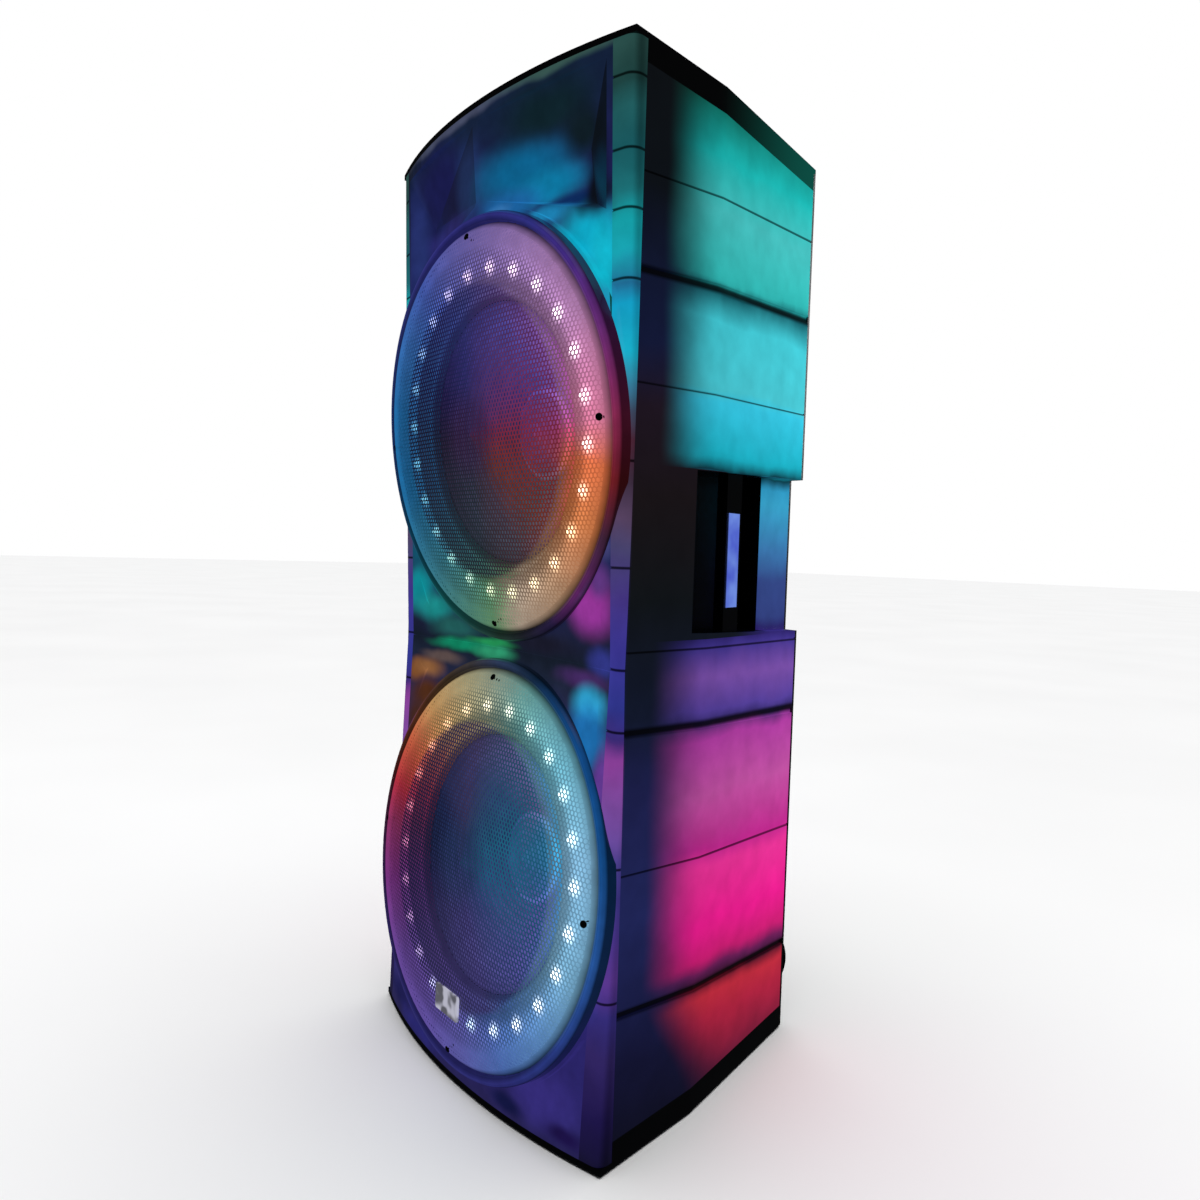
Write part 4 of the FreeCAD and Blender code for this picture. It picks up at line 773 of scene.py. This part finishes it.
@dataclass(frozen=True)
class RingGlow:
    """Anything in a ring that takes its colour from the lights around it, painted on as glow; the lenses
    over the lights are lamps.

    A colour changes with the angle round the ring, and its strength with the distance from the middle.
    """

    name: str
    ring: RingFrame
    palette: Stops
    inner: Stops
    base: str = "0a0a0e"
    roughness: float = 0.35
    metallic: float = 0.0
    profile: tuple[tuple[float, float], ...] = ((0.0, 1.0), (0.23, 1.0))
    inner_edge: tuple[float, float] = (0.150, 0.158)
    hub: str = ""
    hub_reach: tuple[float, float] = (0.02, 0.06)
    lamps: Stops = ()
    light_circle: float = 172.0 * MM
    light_count: int = 24
    light_spread: float = 6 * MM
    light_boost: float = 3.0
    grain: float = 2 * MM
    grain_depth: float = 0.03 * MM
    rib_pitch: float = 0.0

    def material(self) -> bpy.types.Material:
        """Makes the material."""
        made = Surface(
            self.name, Roughness=self.roughness, Metallic=self.metallic, Base_Color=linear(self.base)
        )
        offset = made.add("VectorMath", MINUS, {0: made.place, 1: tuple(self.ring.centre)})
        across = made.add("SeparateXYZ", None, {0: offset})
        upward = made.add("VectorMath", {"operation": "DOT_PRODUCT"}, {0: offset, 1: tuple(self.ring.up)})
        angle = made.add("Math", {"operation": "ARCTAN2"}, {0: across, 1: upward.outputs["Value"]})
        turn = made.add("Math", OVER, {0: angle, 1: math.tau})
        clock = made.add("Math", {"operation": "FRACT"}, {0: turn})
        plane = made.add("CombineXYZ", None, {0: across, 1: upward.outputs["Value"], 2: 0.0})
        radius = made.add("VectorMath", LENGTH, {0: plane}).outputs["Value"]
        outer = made.add("ValToRGB", {"stops": self.round_the_clock(self.palette)}, {0: clock})
        inner = made.add("ValToRGB", {"stops": self.round_the_clock(self.inner)}, {0: clock})
        over = made.remap(radius, self.inner_edge, (0.0, 1.0), True)
        colour = made.blend(over, inner, outer)
        if self.hub:
            near = made.remap(radius, self.hub_reach, (0.8, 0.0), True)
            colour = made.blend(near, colour, linear(self.hub))
        strength = self.radial(made, radius)
        ribs = None
        # painted highlight and shade: the glow is stronger on one side of each rib
        if self.rib_pitch:
            phase = made.add("Math", TIMES, {0: radius, 1: math.tau / self.rib_pitch})
            ribs = made.add("Math", {"operation": "SINE"}, {0: phase})
            lit_ribs = made.remap(ribs, (-1.0, 1.0), (0.8, 1.1))
            strength = made.add("Math", TIMES, {0: strength, 1: lit_ribs})
        if self.lamps:
            halo = self.halo(made, clock, radius)
            lamp = made.add("ValToRGB", {"stops": self.round_the_clock(self.lamps)}, {0: clock})
            colour = made.blend(halo, colour, lamp)
            inputs = {0: halo, 1: self.light_boost, 2: strength}
            strength = made.add("Math", TIMES_PLUS, inputs)
        made.glow(colour, strength)
        if ribs:
            made.bump(ribs, 0.5 * MM)
        else:
            made.bump(made.noise(self.grain, 2.0, 17.0), self.grain_depth)
        return made.material

    def round_the_clock(self, stops: Stops) -> Stops:
        """Stops by the hour as shares of a turn, closed at the end with the first colour."""
        shares = [(hour / HOURS, colour) for hour, colour in stops]
        return tuple(shares + [(1.0, stops[0][1])])

    def radial(self, made: Surface, radius: bpy.types.NodeSocket) -> bpy.types.Node:
        """Strength by the distance from the middle, as straight runs between the profile's points."""
        first = self.profile[0][1]
        total = made.remap(radius, (0.0, 1.0), (first, first))
        for (r0, s0), (r1, s1) in zip(self.profile, self.profile[1:]):
            step = made.remap(radius, (r0, r1), (0.0, s1 - s0))
            total = made.add("Math", PLUS, {0: total, 1: step})
        lumps = made.remap(made.noise(18 * MM, 3.0, 18.0), NOISE_RANGE, (0.88, 1.1))
        return made.add("Math", TIMES, {0: total, 1: lumps})

    def halo(self, made: Surface, clock: bpy.types.Node, radius: bpy.types.NodeSocket) -> bpy.types.Node:
        """Soft round glow over each light: 1 at a light, falling to 0 around it."""
        turns = made.add("Math", TIMES, {0: clock, 1: float(self.light_count)})
        part = made.add("Math", {"operation": "FRACT"}, {0: turns})
        centred = made.add("Math", MINUS, {0: part, 1: 0.5})
        arc = math.tau * self.light_circle / self.light_count
        aside = made.add("Math", TIMES, {0: centred, 1: arc})
        out = made.add("Math", MINUS, {0: radius, 1: self.light_circle})
        both = made.add("CombineXYZ", None, {0: aside, 1: out, 2: 0.0})
        gap = made.add("VectorMath", LENGTH, {0: both}).outputs["Value"]
        return made.remap(gap, (0.0, 2.2 * self.light_spread), (1.0, 0.0), True)


def mesh_object(name: str, points: list[Vector], faces: list[tuple[int, ...]]) -> bpy.types.Object:
    """Makes a mesh object at the origin, with its points in the shared frame.

    Args:
        name: the object's name.
        points: the vertices, in metres.
        faces: the vertex numbers of each face.

    Returns:
        The new object, linked to the scene.
    """
    mesh = bpy.data.meshes.new(name)
    mesh.from_pydata(points, [], faces)
    mesh.validate()
    made = bpy.data.objects.new(name, mesh)
    bpy.context.scene.collection.objects.link(made)
    return made


def dress(material: bpy.types.Material, *nodes: str) -> None:
    """Gives CAD nodes a material in place of their plain ones."""
    for name in nodes:
        slots = frame["nodes"][name].data.materials
        slots.clear()
        slots.append(material)
        log.info("dressed %s in %s", name, material.name)


@dataclass
class PerforatedGrille:
    """Domed steel sheet with six-sided holes, its edge turned back into the bezel."""

    ring: RingFrame
    name: str
    pitch: float = 5.0 * MM
    bar: float = 1.0 * MM
    sheet: float = 1.1 * MM
    rim_r: float = 214.8 * MM
    bend_r: float = 208.5 * MM
    bend_rise: float = 6.8 * MM
    rim_rise: float = -1.2 * MM
    shoulder_r: float = 200.0 * MM
    shoulder: float = 10.2 * MM
    rise: float = 23.2 * MM
    holes_to: float = 213.0 * MM
    points: list[Vector] = field(default_factory=list)
    known: dict[tuple[int, int], int] = field(default_factory=dict)

    def height(self, radius: float) -> float:
        """How far the outer skin stands forward at a radius."""
        if radius <= self.shoulder_r:
            drop = self.rise - self.shoulder
            ball = (self.shoulder_r**2 + drop**2) / (2 * drop)
            return self.rise - ball + math.sqrt(ball**2 - radius**2)
        x, y, bend = self.bend_circle()
        return y + math.sqrt(max(bend**2 - (radius - x) ** 2, 0.0))

    def bend_circle(self) -> tuple[float, float, float]:
        """Middle and radius of the circle through the shoulder, the bend and the rim."""
        ax, ay = self.shoulder_r, self.shoulder
        bx, by = self.bend_r, self.bend_rise
        cx, cy = self.rim_r, self.rim_rise
        across = 2 * (ax * (by - cy) + bx * (cy - ay) + cx * (ay - by))
        a2, b2, c2 = ax**2 + ay**2, bx**2 + by**2, cx**2 + cy**2
        x = (a2 * (by - cy) + b2 * (cy - ay) + c2 * (ay - by)) / across
        y = (a2 * (cx - bx) + b2 * (ax - cx) + c2 * (bx - ax)) / across
        return x, y, math.hypot(ax - x, ay - y)

    def build(self, material: bpy.types.Material) -> bpy.types.Object:
        """Builds the sheet and its plain rim, and puts it in the CAD grille's place."""
        faces = []
        rows = int(self.holes_to / (self.pitch * math.sqrt(3) / 2)) + 1
        columns = int(self.holes_to / self.pitch) + 2
        for row in range(-rows, rows + 1):
            for column in range(-columns, columns + 1):
                x = (column + (row % 2) / 2) * self.pitch
                y = row * self.pitch * math.sqrt(3) / 2
                if math.hypot(x, y) < self.holes_to:
                    faces += self.cell(x, y)
        faces += self.rim()
        made = mesh_object(self.name, self.points, faces)
        made.data.materials.append(material)
        thick = made.modifiers.new("sheet", "SOLIDIFY")
        thick.thickness = self.sheet
        thick.offset = -1.0
        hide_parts(self.name.removesuffix("_sheet"))
        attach(made, "cabinet")
        log.info("%s: %d faces", self.name, len(faces))
        return made

    def corner(self, x: float, y: float, step: float = 1e-6) -> int:
        """The number of the vertex at a place, made once."""
        key = (round(x / step), round(y / step))
        if key not in self.known:
            self.known[key] = len(self.points)
            self.points.append(self.ring.point(x, y, self.height(math.hypot(x, y))))
        return self.known[key]

    def cell(self, x: float, y: float) -> list[tuple[int, ...]]:
        """Six narrow faces around one hole."""
        outer_r = self.pitch / math.sqrt(3)
        inner_r = (self.pitch - self.bar) / math.sqrt(3)
        angles = [math.radians(30 + 60 * k) for k in range(6)]
        outer = [self.corner(x + outer_r * math.cos(a), y + outer_r * math.sin(a)) for a in angles]
        inner = [self.corner(x + inner_r * math.cos(a), y + inner_r * math.sin(a)) for a in angles]
        return [(outer[k], outer[k - 5], inner[k - 5], inner[k]) for k in range(6)]

    def rim(self, turns: int = 144, rings: int = 5, under: float = 0.25 * MM) -> list[tuple[int, ...]]:
        """The plain edge of the sheet, lapped just under the holed part."""
        start = len(self.points)
        inner_r = self.holes_to - self.pitch * 0.75
        for i in range(rings):
            radius = inner_r + (self.rim_r - inner_r) * i / (rings - 1)
            for j in range(turns):
                a = math.tau * j / turns
                forward = self.height(radius) - under
                self.points.append(self.ring.point(radius * math.cos(a), radius * math.sin(a), forward))
        faces = []
        for i in range(rings - 1):
            for j in range(turns):
                k = (j + 1) % turns
                low, high = start + i * turns, start + (i + 1) * turns
                faces.append((low + j, high + j, high + k, low + k))
        return faces


@dataclass
class RingAssembly:
    """One woofer ring: bezel, grille, lights, cone and the motor behind it."""

    name: str
    palette: RingPalette
    hub: str

    def build(self) -> None:
        """Builds the grille and dresses the rest."""
        ring = RingFrame.read(self.name)
        self.build_grille(ring)
        self.dress_front(ring)
        self.dress_motor()

    def build_grille(self, ring: RingFrame) -> None:
        """The perforated sheet in black powder coat, with the glow of the lights behind it painted on."""
        # painted light: the lights' glow on the strands, dimmest at the rim
        coat = RingGlow(
            f"{self.name}_powder_coated_grille", ring, self.palette.glow, self.palette.cone,
            base="131318", roughness=0.45, hub=self.hub,
            profile=(
                (0.0, 0.22), (0.10, 0.26), (0.150, 0.22), (0.172, 0.30), (0.184, 0.40), (0.193, 0.60),
                (0.208, 0.62), (0.212, 0.34), (0.2148, 0.04),
            ),
            grain=1.5 * MM,
        )
        PerforatedGrille(ring, f"{self.name}_grille_sheet").build(coat.material())

    def dress_front(self, ring: RingFrame) -> None:
        """Bezel, light board, lenses, surround, cone and dust cap."""
        glow, cone = self.palette.glow, self.palette.cone
        # painted light: the lights' reflections on the bezel as glow, a painted highlight on the front lip
        # and painted shade on the side wall
        bezel = RingGlow(
            f"{self.name}_gloss_abs_bezel", ring, self.palette.bezel, self.palette.bezel,
            base="0a0a12", roughness=0.16,
            profile=((0.0, 0.3), (0.2165, 0.45), (0.2215, 1.0), (0.2245, 0.7), (0.2258, 0.15)),
        )
        # painted light: the white board glows round the lights, with a painted halo over each
        board = RingGlow(
            f"{self.name}_white_light_board", ring, glow, glow, base="34343a", roughness=0.6,
            profile=(
                (0.0, 0.35), (0.156, 0.35), (0.163, 0.55), (0.172, 1.1), (0.182, 1.1), (0.195, 0.7),
                (0.213, 0.5),
            ),
            lamps=self.palette.lamps, light_boost=1.6,
        )
        lens = RingGlow(
            f"{self.name}_clear_acrylic_lens", ring, glow, glow, base="606068", roughness=0.12,
            profile=((0.0, 1.0), (0.23, 1.0)), lamps=self.palette.lamps, light_spread=12 * MM,
            light_boost=1.8,
        )
        # painted light: the lights' glow on the surround, dust cap and cone
        edge = RingGlow(
            f"{self.name}_rubber_surround", ring, glow, glow, base="141416", roughness=0.6,
            profile=((0.0, 0.15), (0.142, 0.15), (0.149, 0.55), (0.158, 0.3)), grain=1 * MM,
        )
        cap = RingGlow(
            f"{self.name}_pressed_dust_cap", ring, cone, cone, base="202024", roughness=0.7, hub=self.hub,
            profile=((0.0, 0.8), (0.042, 0.85), (0.050, 1.5), (0.054, 0.9)), rib_pitch=9 * MM,
        )
        paper = RingGlow(
            f"{self.name}_pressed_paper_cone", ring, cone, cone, base="1c1c20", roughness=0.75,
            profile=((0.0, 0.75), (0.06, 0.8), (0.12, 0.95), (0.14, 0.5)), hub=self.hub,
            rib_pitch=7 * MM,
        )
        for finish, node in (
            (bezel, "bezel"), (board, "light_board"), (lens, "lights"), (edge, "surround"),
            (paper, "cone"), (cap, "dust_cap"),
        ):
            dress(finish.material(), f"{self.name}_{node}")

    def dress_motor(self) -> None:
        """Frame, magnet, plates, spider and voice coil."""
        finishes = {
            "woofer_frame": CoatedSteel("black_crackle_paint", "0c0c0d", "1a1a1b", roughness=0.5),
            "magnet": MouldedPlastic("ground_ferrite", "1b1c1e", "2a2b2d", 0.45, Grain.TEXTURED),
            "magnet_plates": TurnedMetal("zinc_plated_steel", "9a9c9e", "6f7376"),
            "spider": WovenCloth("resin_stiffened_cotton", "b08a3e", "5c4217"),
            "voice_coil": TurnedMetal("enamelled_copper", "b8622e", "7c3a18", pitch=0.8 * MM),
        }
        for node, finish in finishes.items():
            dress(finish.material(), f"{self.name}_{node}")


# ---- cabinet, controls and running gear ----
@dataclass
class Cabinet:
    """The outside of the cabinet, its handles and the sealed box inside."""

    def build(self) -> None:
        """Dresses every part of the cabinet."""
        finishes = (
            # painted light as glow: the lights' reflections on a faceted, glossy front and its corner
            # strips, and lit side panels with painted shade
            (FacetedFront(), "upper_fascia", "lower_fascia"),
            (CornerStrip(), "left_corner_trim", "right_corner_trim"),
            (LightGuide(), "left_side_panel", "right_side_panel"),
            # black shells: dark edges that frame the colour, with the panels' light painted faintly on the
            # lid
            (
                MouldedPlastic("black_moulded_lid", "0b0c0f", "14161a", 0.42, panel_light_spill="064a40"),
                "top_cover",
            ),
            (MouldedPlastic("black_moulded_abs", "0b0c0f", "14161a", 0.42), "bottom_cover", "wheel_wells"),
            (
                MouldedPlastic("textured_black_abs", "191a1e", "24262a", 0.5, Grain.TEXTURED, 1.4 * MM),
                "rear_panel",
            ),
            (
                MouldedPlastic("satin_black_abs", "0a0a0d", "121217", 0.36),
                "left_handle_cup", "right_handle_cup",
            ),
            # one even blue bar inside each dark handle
            (LitLens("blue_lit_grip", "6f8ee0", "4a5cc8", 1.0, 30 * MM), "grip_lights"),
            # what shows only with the covers off
            (PressedBoard("particle_board", "a98a5c", "6e5433"), "inner_box", "baffle_board"),
            (LitLens("milky_light_bar", "e8f0ff", "b8c8ff", 1.0, 20 * MM), "side_light_strips"),
            (CircuitBoard("green_circuit_board", "0f3d1e", "2e7a45"), "amplifier_board"),
            (MouldedPlastic("blue_shrink_wrap", "16306e", "0f2352", 0.3), "battery"),
            # small dark heads and one bright plate, which give the front its scale
            (CoatedSteel("black_oxide_screw", "0d0d0e", "232325", 0.6, 0.35), "screws", "woofer_bolts"),
            (
                TurnedMetal("brushed_nickel_badge", "c4c4d4", "8a8a98", 0.7, 0.3, 0.6 * MM, sheen=0.8),
                "badge",
            ),
        )
        for finish, *nodes in finishes:
            dress(finish.material(), *nodes)


@dataclass
class RearControls:
    """Control panel with its knobs, buttons, window and sockets, and the marks around the knobs."""

    ticks: int = 11
    sweep: float = 300.0
    tick_r: tuple[float, float] = (12.5 * MM, 15.5 * MM)
    tick_wide: float = 0.8 * MM
    tick_high: float = 0.25 * MM

    def build(self) -> None:
        """Dresses the controls and builds the marks."""
        knobs = ("treble_knob", "volume_knob", "microphone_knob")
        buttons = ("light_button", "play_button", "input_button", "power_rocker")
        finishes = (
            # a grainy control shape just paler than its panel, so that it reads at arm's length
            (
                MouldedPlastic("satin_black_control", "2a2b30", "3a3b41", 0.4, Grain.TEXTURED, 1.2 * MM),
                *knobs, *buttons,
            ),
            (CoatedSteel("textured_black_paint", "101114", "1a1b1f", 0.0, 0.5, 1.0 * MM), "control_panel"),
            # the window is the one smooth, mirror-like patch on the back
            (MouldedPlastic("smoked_acrylic", "060608", "0b0b10", 0.08, Grain.POLISHED), "display_window"),
            (TurnedMetal("nickel_plated_brass", "c9c7c2", "8f8d88", pitch=1.0 * MM), "jack_sockets"),
            (MouldedPlastic("black_nylon_inlet", "24252a", "303137", 0.55), "mains_inlet"),
        )
        for finish, *nodes in finishes:
            dress(finish.material(), *nodes)
        self.build_marks(knobs)

    def build_marks(self, knobs: tuple[str, ...]) -> None:
        """Raised white marks round each knob, as one piece printed on the panel."""
        points: list[Vector] = []
        faces: list[tuple[int, ...]] = []
        face_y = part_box("control_panel")[1].y
        for knob in knobs:
            low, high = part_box(knob)
            middle = (low + high) / 2
            for i in range(self.ticks):
                angle = math.radians(90 + self.sweep / 2 - self.sweep * i / (self.ticks - 1))
                faces += self.mark(points, Vector((middle.x, face_y, middle.z)), angle)
        made = mesh_object("dial_marks", points, faces)
        ink = CoatedSteel("white_printed_ink", "d8d8d4", "b8b8b4", 0.0, 0.6, 0.6 * MM)
        made.data.materials.append(ink.material())
        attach(made, "cabinet")
        log.info("dial_marks: %d marks", len(knobs) * self.ticks)

    def mark(self, points: list[Vector], middle: Vector, angle: float) -> list[tuple[int, ...]]:
        """One tapered bar standing off the panel.

        Args:
            points: the list that the new vertices are added to.
            middle: the knob's middle, on the panel's face.
            angle: where the bar is, from the +X direction towards +Z.

        Returns:
            The bar's faces.
        """
        out = Vector((math.cos(angle), 0.0, math.sin(angle)))
        side = Vector((-math.sin(angle), 0.0, math.cos(angle)))
        start = len(points)
        for lift, shrink in ((0.02 * MM, 1.0), (self.tick_high, 0.7)):
            for radius in self.tick_r:
                for half in (-1, 1):
                    edge = middle + out * radius + side * half * shrink * self.tick_wide / 2
                    points.append(edge + Vector((0.0, lift, 0.0)))
        loops = ((0, 1, 3, 2), (4, 6, 7, 5), (0, 2, 6, 4), (1, 5, 7, 3), (0, 4, 5, 1), (2, 3, 7, 6))
        return [tuple(start + k for k in loop) for loop in loops]


@dataclass
class RunningGear:
    """Wheels, their axles and the feet."""

    def build(self) -> None:
        """Dresses the parts that touch the floor."""
        tyre = MouldedRubber("black_wheel_rubber", "0d0d0e", "1c1b1a", 4.5 * MM)
        dress(tyre.material(), "left_wheel", "right_wheel")
        dress(TurnedMetal("bright_steel_bar", "b0b2b4", "808386", about_x=True).material(), "axle_stubs")
        dress(MouldedRubber("soft_black_rubber", "111112", "1f1e1d").material(), "feet")


# ---- the studio ----
@dataclass
class Studio:
    """Pale floor, soft lights and the camera."""

    eye: Vector
    yaw: float = 0.8994
    pitch: float = -0.0507
    roll: float = 0.0311
    focal_share: float = 927.18 / 1200.0
    sensor: float = 36.0
    floor_half: float = 30.0
    back_nodes: tuple[str, ...] = (
        "rear_panel", "control_panel", "treble_knob", "volume_knob", "microphone_knob", "light_button",
        "play_button", "input_button", "power_rocker", "display_window", "jack_sockets", "mains_inlet",
        "left_wheel", "right_wheel", "wheel_wells",
    )

    def build(self) -> None:
        """Builds the whole studio."""
        scene = bpy.context.scene
        scene.view_settings.view_transform = "Standard"
        self.build_world(scene)
        floor = self.build_floor()
        self.build_lights(scene, floor)
        self.build_camera(scene)

    def build_world(self, scene: bpy.types.Scene) -> None:
        """A white backdrop that lights the object only dimly."""
        world = bpy.data.worlds.new("studio")
        world.use_nodes = True
        tree = world.node_tree
        backdrop = tree.nodes["Background"]
        backdrop.inputs["Color"].default_value = linear("ffffff")
        dim = add_node(tree, "Background", None, {"Color": linear("c8ccd6"), "Strength": 0.035})
        seen = add_node(tree, "LightPath").outputs["Is Camera Ray"]
        both = add_node(tree, "MixShader", None, {0: seen, 1: dim, 2: backdrop})
        tree.links.new(both.outputs[0], tree.nodes["World Output"].inputs["Surface"])
        scene.world = world

    def build_floor(self) -> bpy.types.Object:
        """A plain pale floor, wide enough to fade into the backdrop."""
        half = self.floor_half
        corners = [Vector((x * half, y * half, 0.0)) for x, y in ((-1, -1), (1, -1), (1, 1), (-1, 1))]
        floor = mesh_object("studio_floor", corners, [(0, 1, 2, 3)])
        made = Surface("pale_floor_paint", Roughness=0.9, Specular_IOR_Level=0.1)
        tone = made.remap(made.noise(0.8, 2.0, 20.0), NOISE_RANGE, (0.0, 1.0))
        made.paint(made.blend(tone, linear("f4f4f4"), linear("f0f0f0")))
        floor.data.materials.append(made.material)
        floor.visible_glossy = False
        floor.visible_diffuse = False
        return floor

    def build_lights(self, scene: bpy.types.Scene, floor: bpy.types.Object) -> None:
        """A wash for the floor alone, and soft boxes for the object."""
        wash = self.add_light("floor_wash", "SUN", 3.3, Vector((0.0, 0.0, 4.0)), Vector((0.0, 0.0, 0.0)))
        wash.data.angle = math.radians(70)
        self.light_only(wash, "floor_only", [floor])
        aim = Vector((0.0, 0.0, 0.55))
        boxes = (
            ("overhead_box", 2.0, Vector((0.0, -0.2, 2.8)), 1.8, True),
            ("left_box", 2.0, Vector((-2.2, -2.0, 1.3)), 1.4, False),
            ("rear_box", 50.0, Vector((-0.6, 3.0, 1.6)), 1.6, True),
        )
        for name, power, where, size, mirrored in boxes:
            box = self.add_light(name, "AREA", power, where, aim)
            box.data.shape = "DISK"
            box.data.size = size
            box.visible_glossy = mirrored
            if name == "rear_box":
                behind = [node for key, node in frame["nodes"].items() if key in self.back_nodes]
                self.light_only(box, "back_only", behind + [bpy.data.objects["dial_marks"]])

    def light_only(self, light: bpy.types.Object, name: str, objects: list[bpy.types.Object]) -> None:
        """Lets a light reach these objects and no others."""
        lit = bpy.data.collections.new(name)
        for item in objects:
            lit.objects.link(item)
        light.light_linking.receiver_collection = lit

    def add_light(self, name: str, kind: str, power: float, where: Vector, aim: Vector) -> bpy.types.Object:
        """Adds a light that looks at a point.

        Args:
            name: the light's name.
            kind: "SUN" or "AREA".
            power: its strength or watts.
            where: its place.
            aim: the point that it looks at.

        Returns:
            The light's object.
        """
        data = bpy.data.lights.new(name, kind)
        data.energy = power
        made = bpy.data.objects.new(name, data)
        made.location = where
        made.rotation_mode = "QUATERNION"
        made.rotation_quaternion = (aim - where).to_track_quat("-Z", "Y")
        bpy.context.scene.collection.objects.link(made)
        return made

    def build_camera(self, scene: bpy.types.Scene) -> None:
        """A camera at head height, close to the object, turned to its front right corner."""
        ahead = Vector((
            -math.sin(self.yaw) * math.cos(self.pitch),
            math.cos(self.yaw) * math.cos(self.pitch),
            math.sin(self.pitch),
        ))
        right = Vector((math.cos(self.yaw), math.sin(self.yaw), 0.0))
        up = right.cross(ahead)
        tilted_right = right * math.cos(self.roll) + up * math.sin(self.roll)
        tilted_up = up * math.cos(self.roll) - right * math.sin(self.roll)
        data = bpy.data.cameras.new("camera")
        data.sensor_width = self.sensor
        data.lens = self.focal_share * self.sensor
        camera = bpy.data.objects.new("camera", data)
        turned = Matrix((tilted_right, tilted_up, -ahead)).transposed().to_4x4()
        camera.matrix_world = Matrix.Translation(self.eye) @ turned
        scene.collection.objects.link(camera)
        scene.camera = camera


def main() -> None:
    """Builds each sub-assembly in order, and reports it."""
    logging.basicConfig(level=logging.INFO, format="%(name)s %(message)s")
    RingAssembly("upper", UPPER_PALETTE, "5e3c74").build()
    RingAssembly("lower", LOWER_PALETTE, "3e5c92").build()
    Cabinet().build()
    RearControls().build()
    RunningGear().build()
    Studio(Vector((0.8693, -0.7040, 0.5853))).build()


if __name__ == "__main__":
    main()
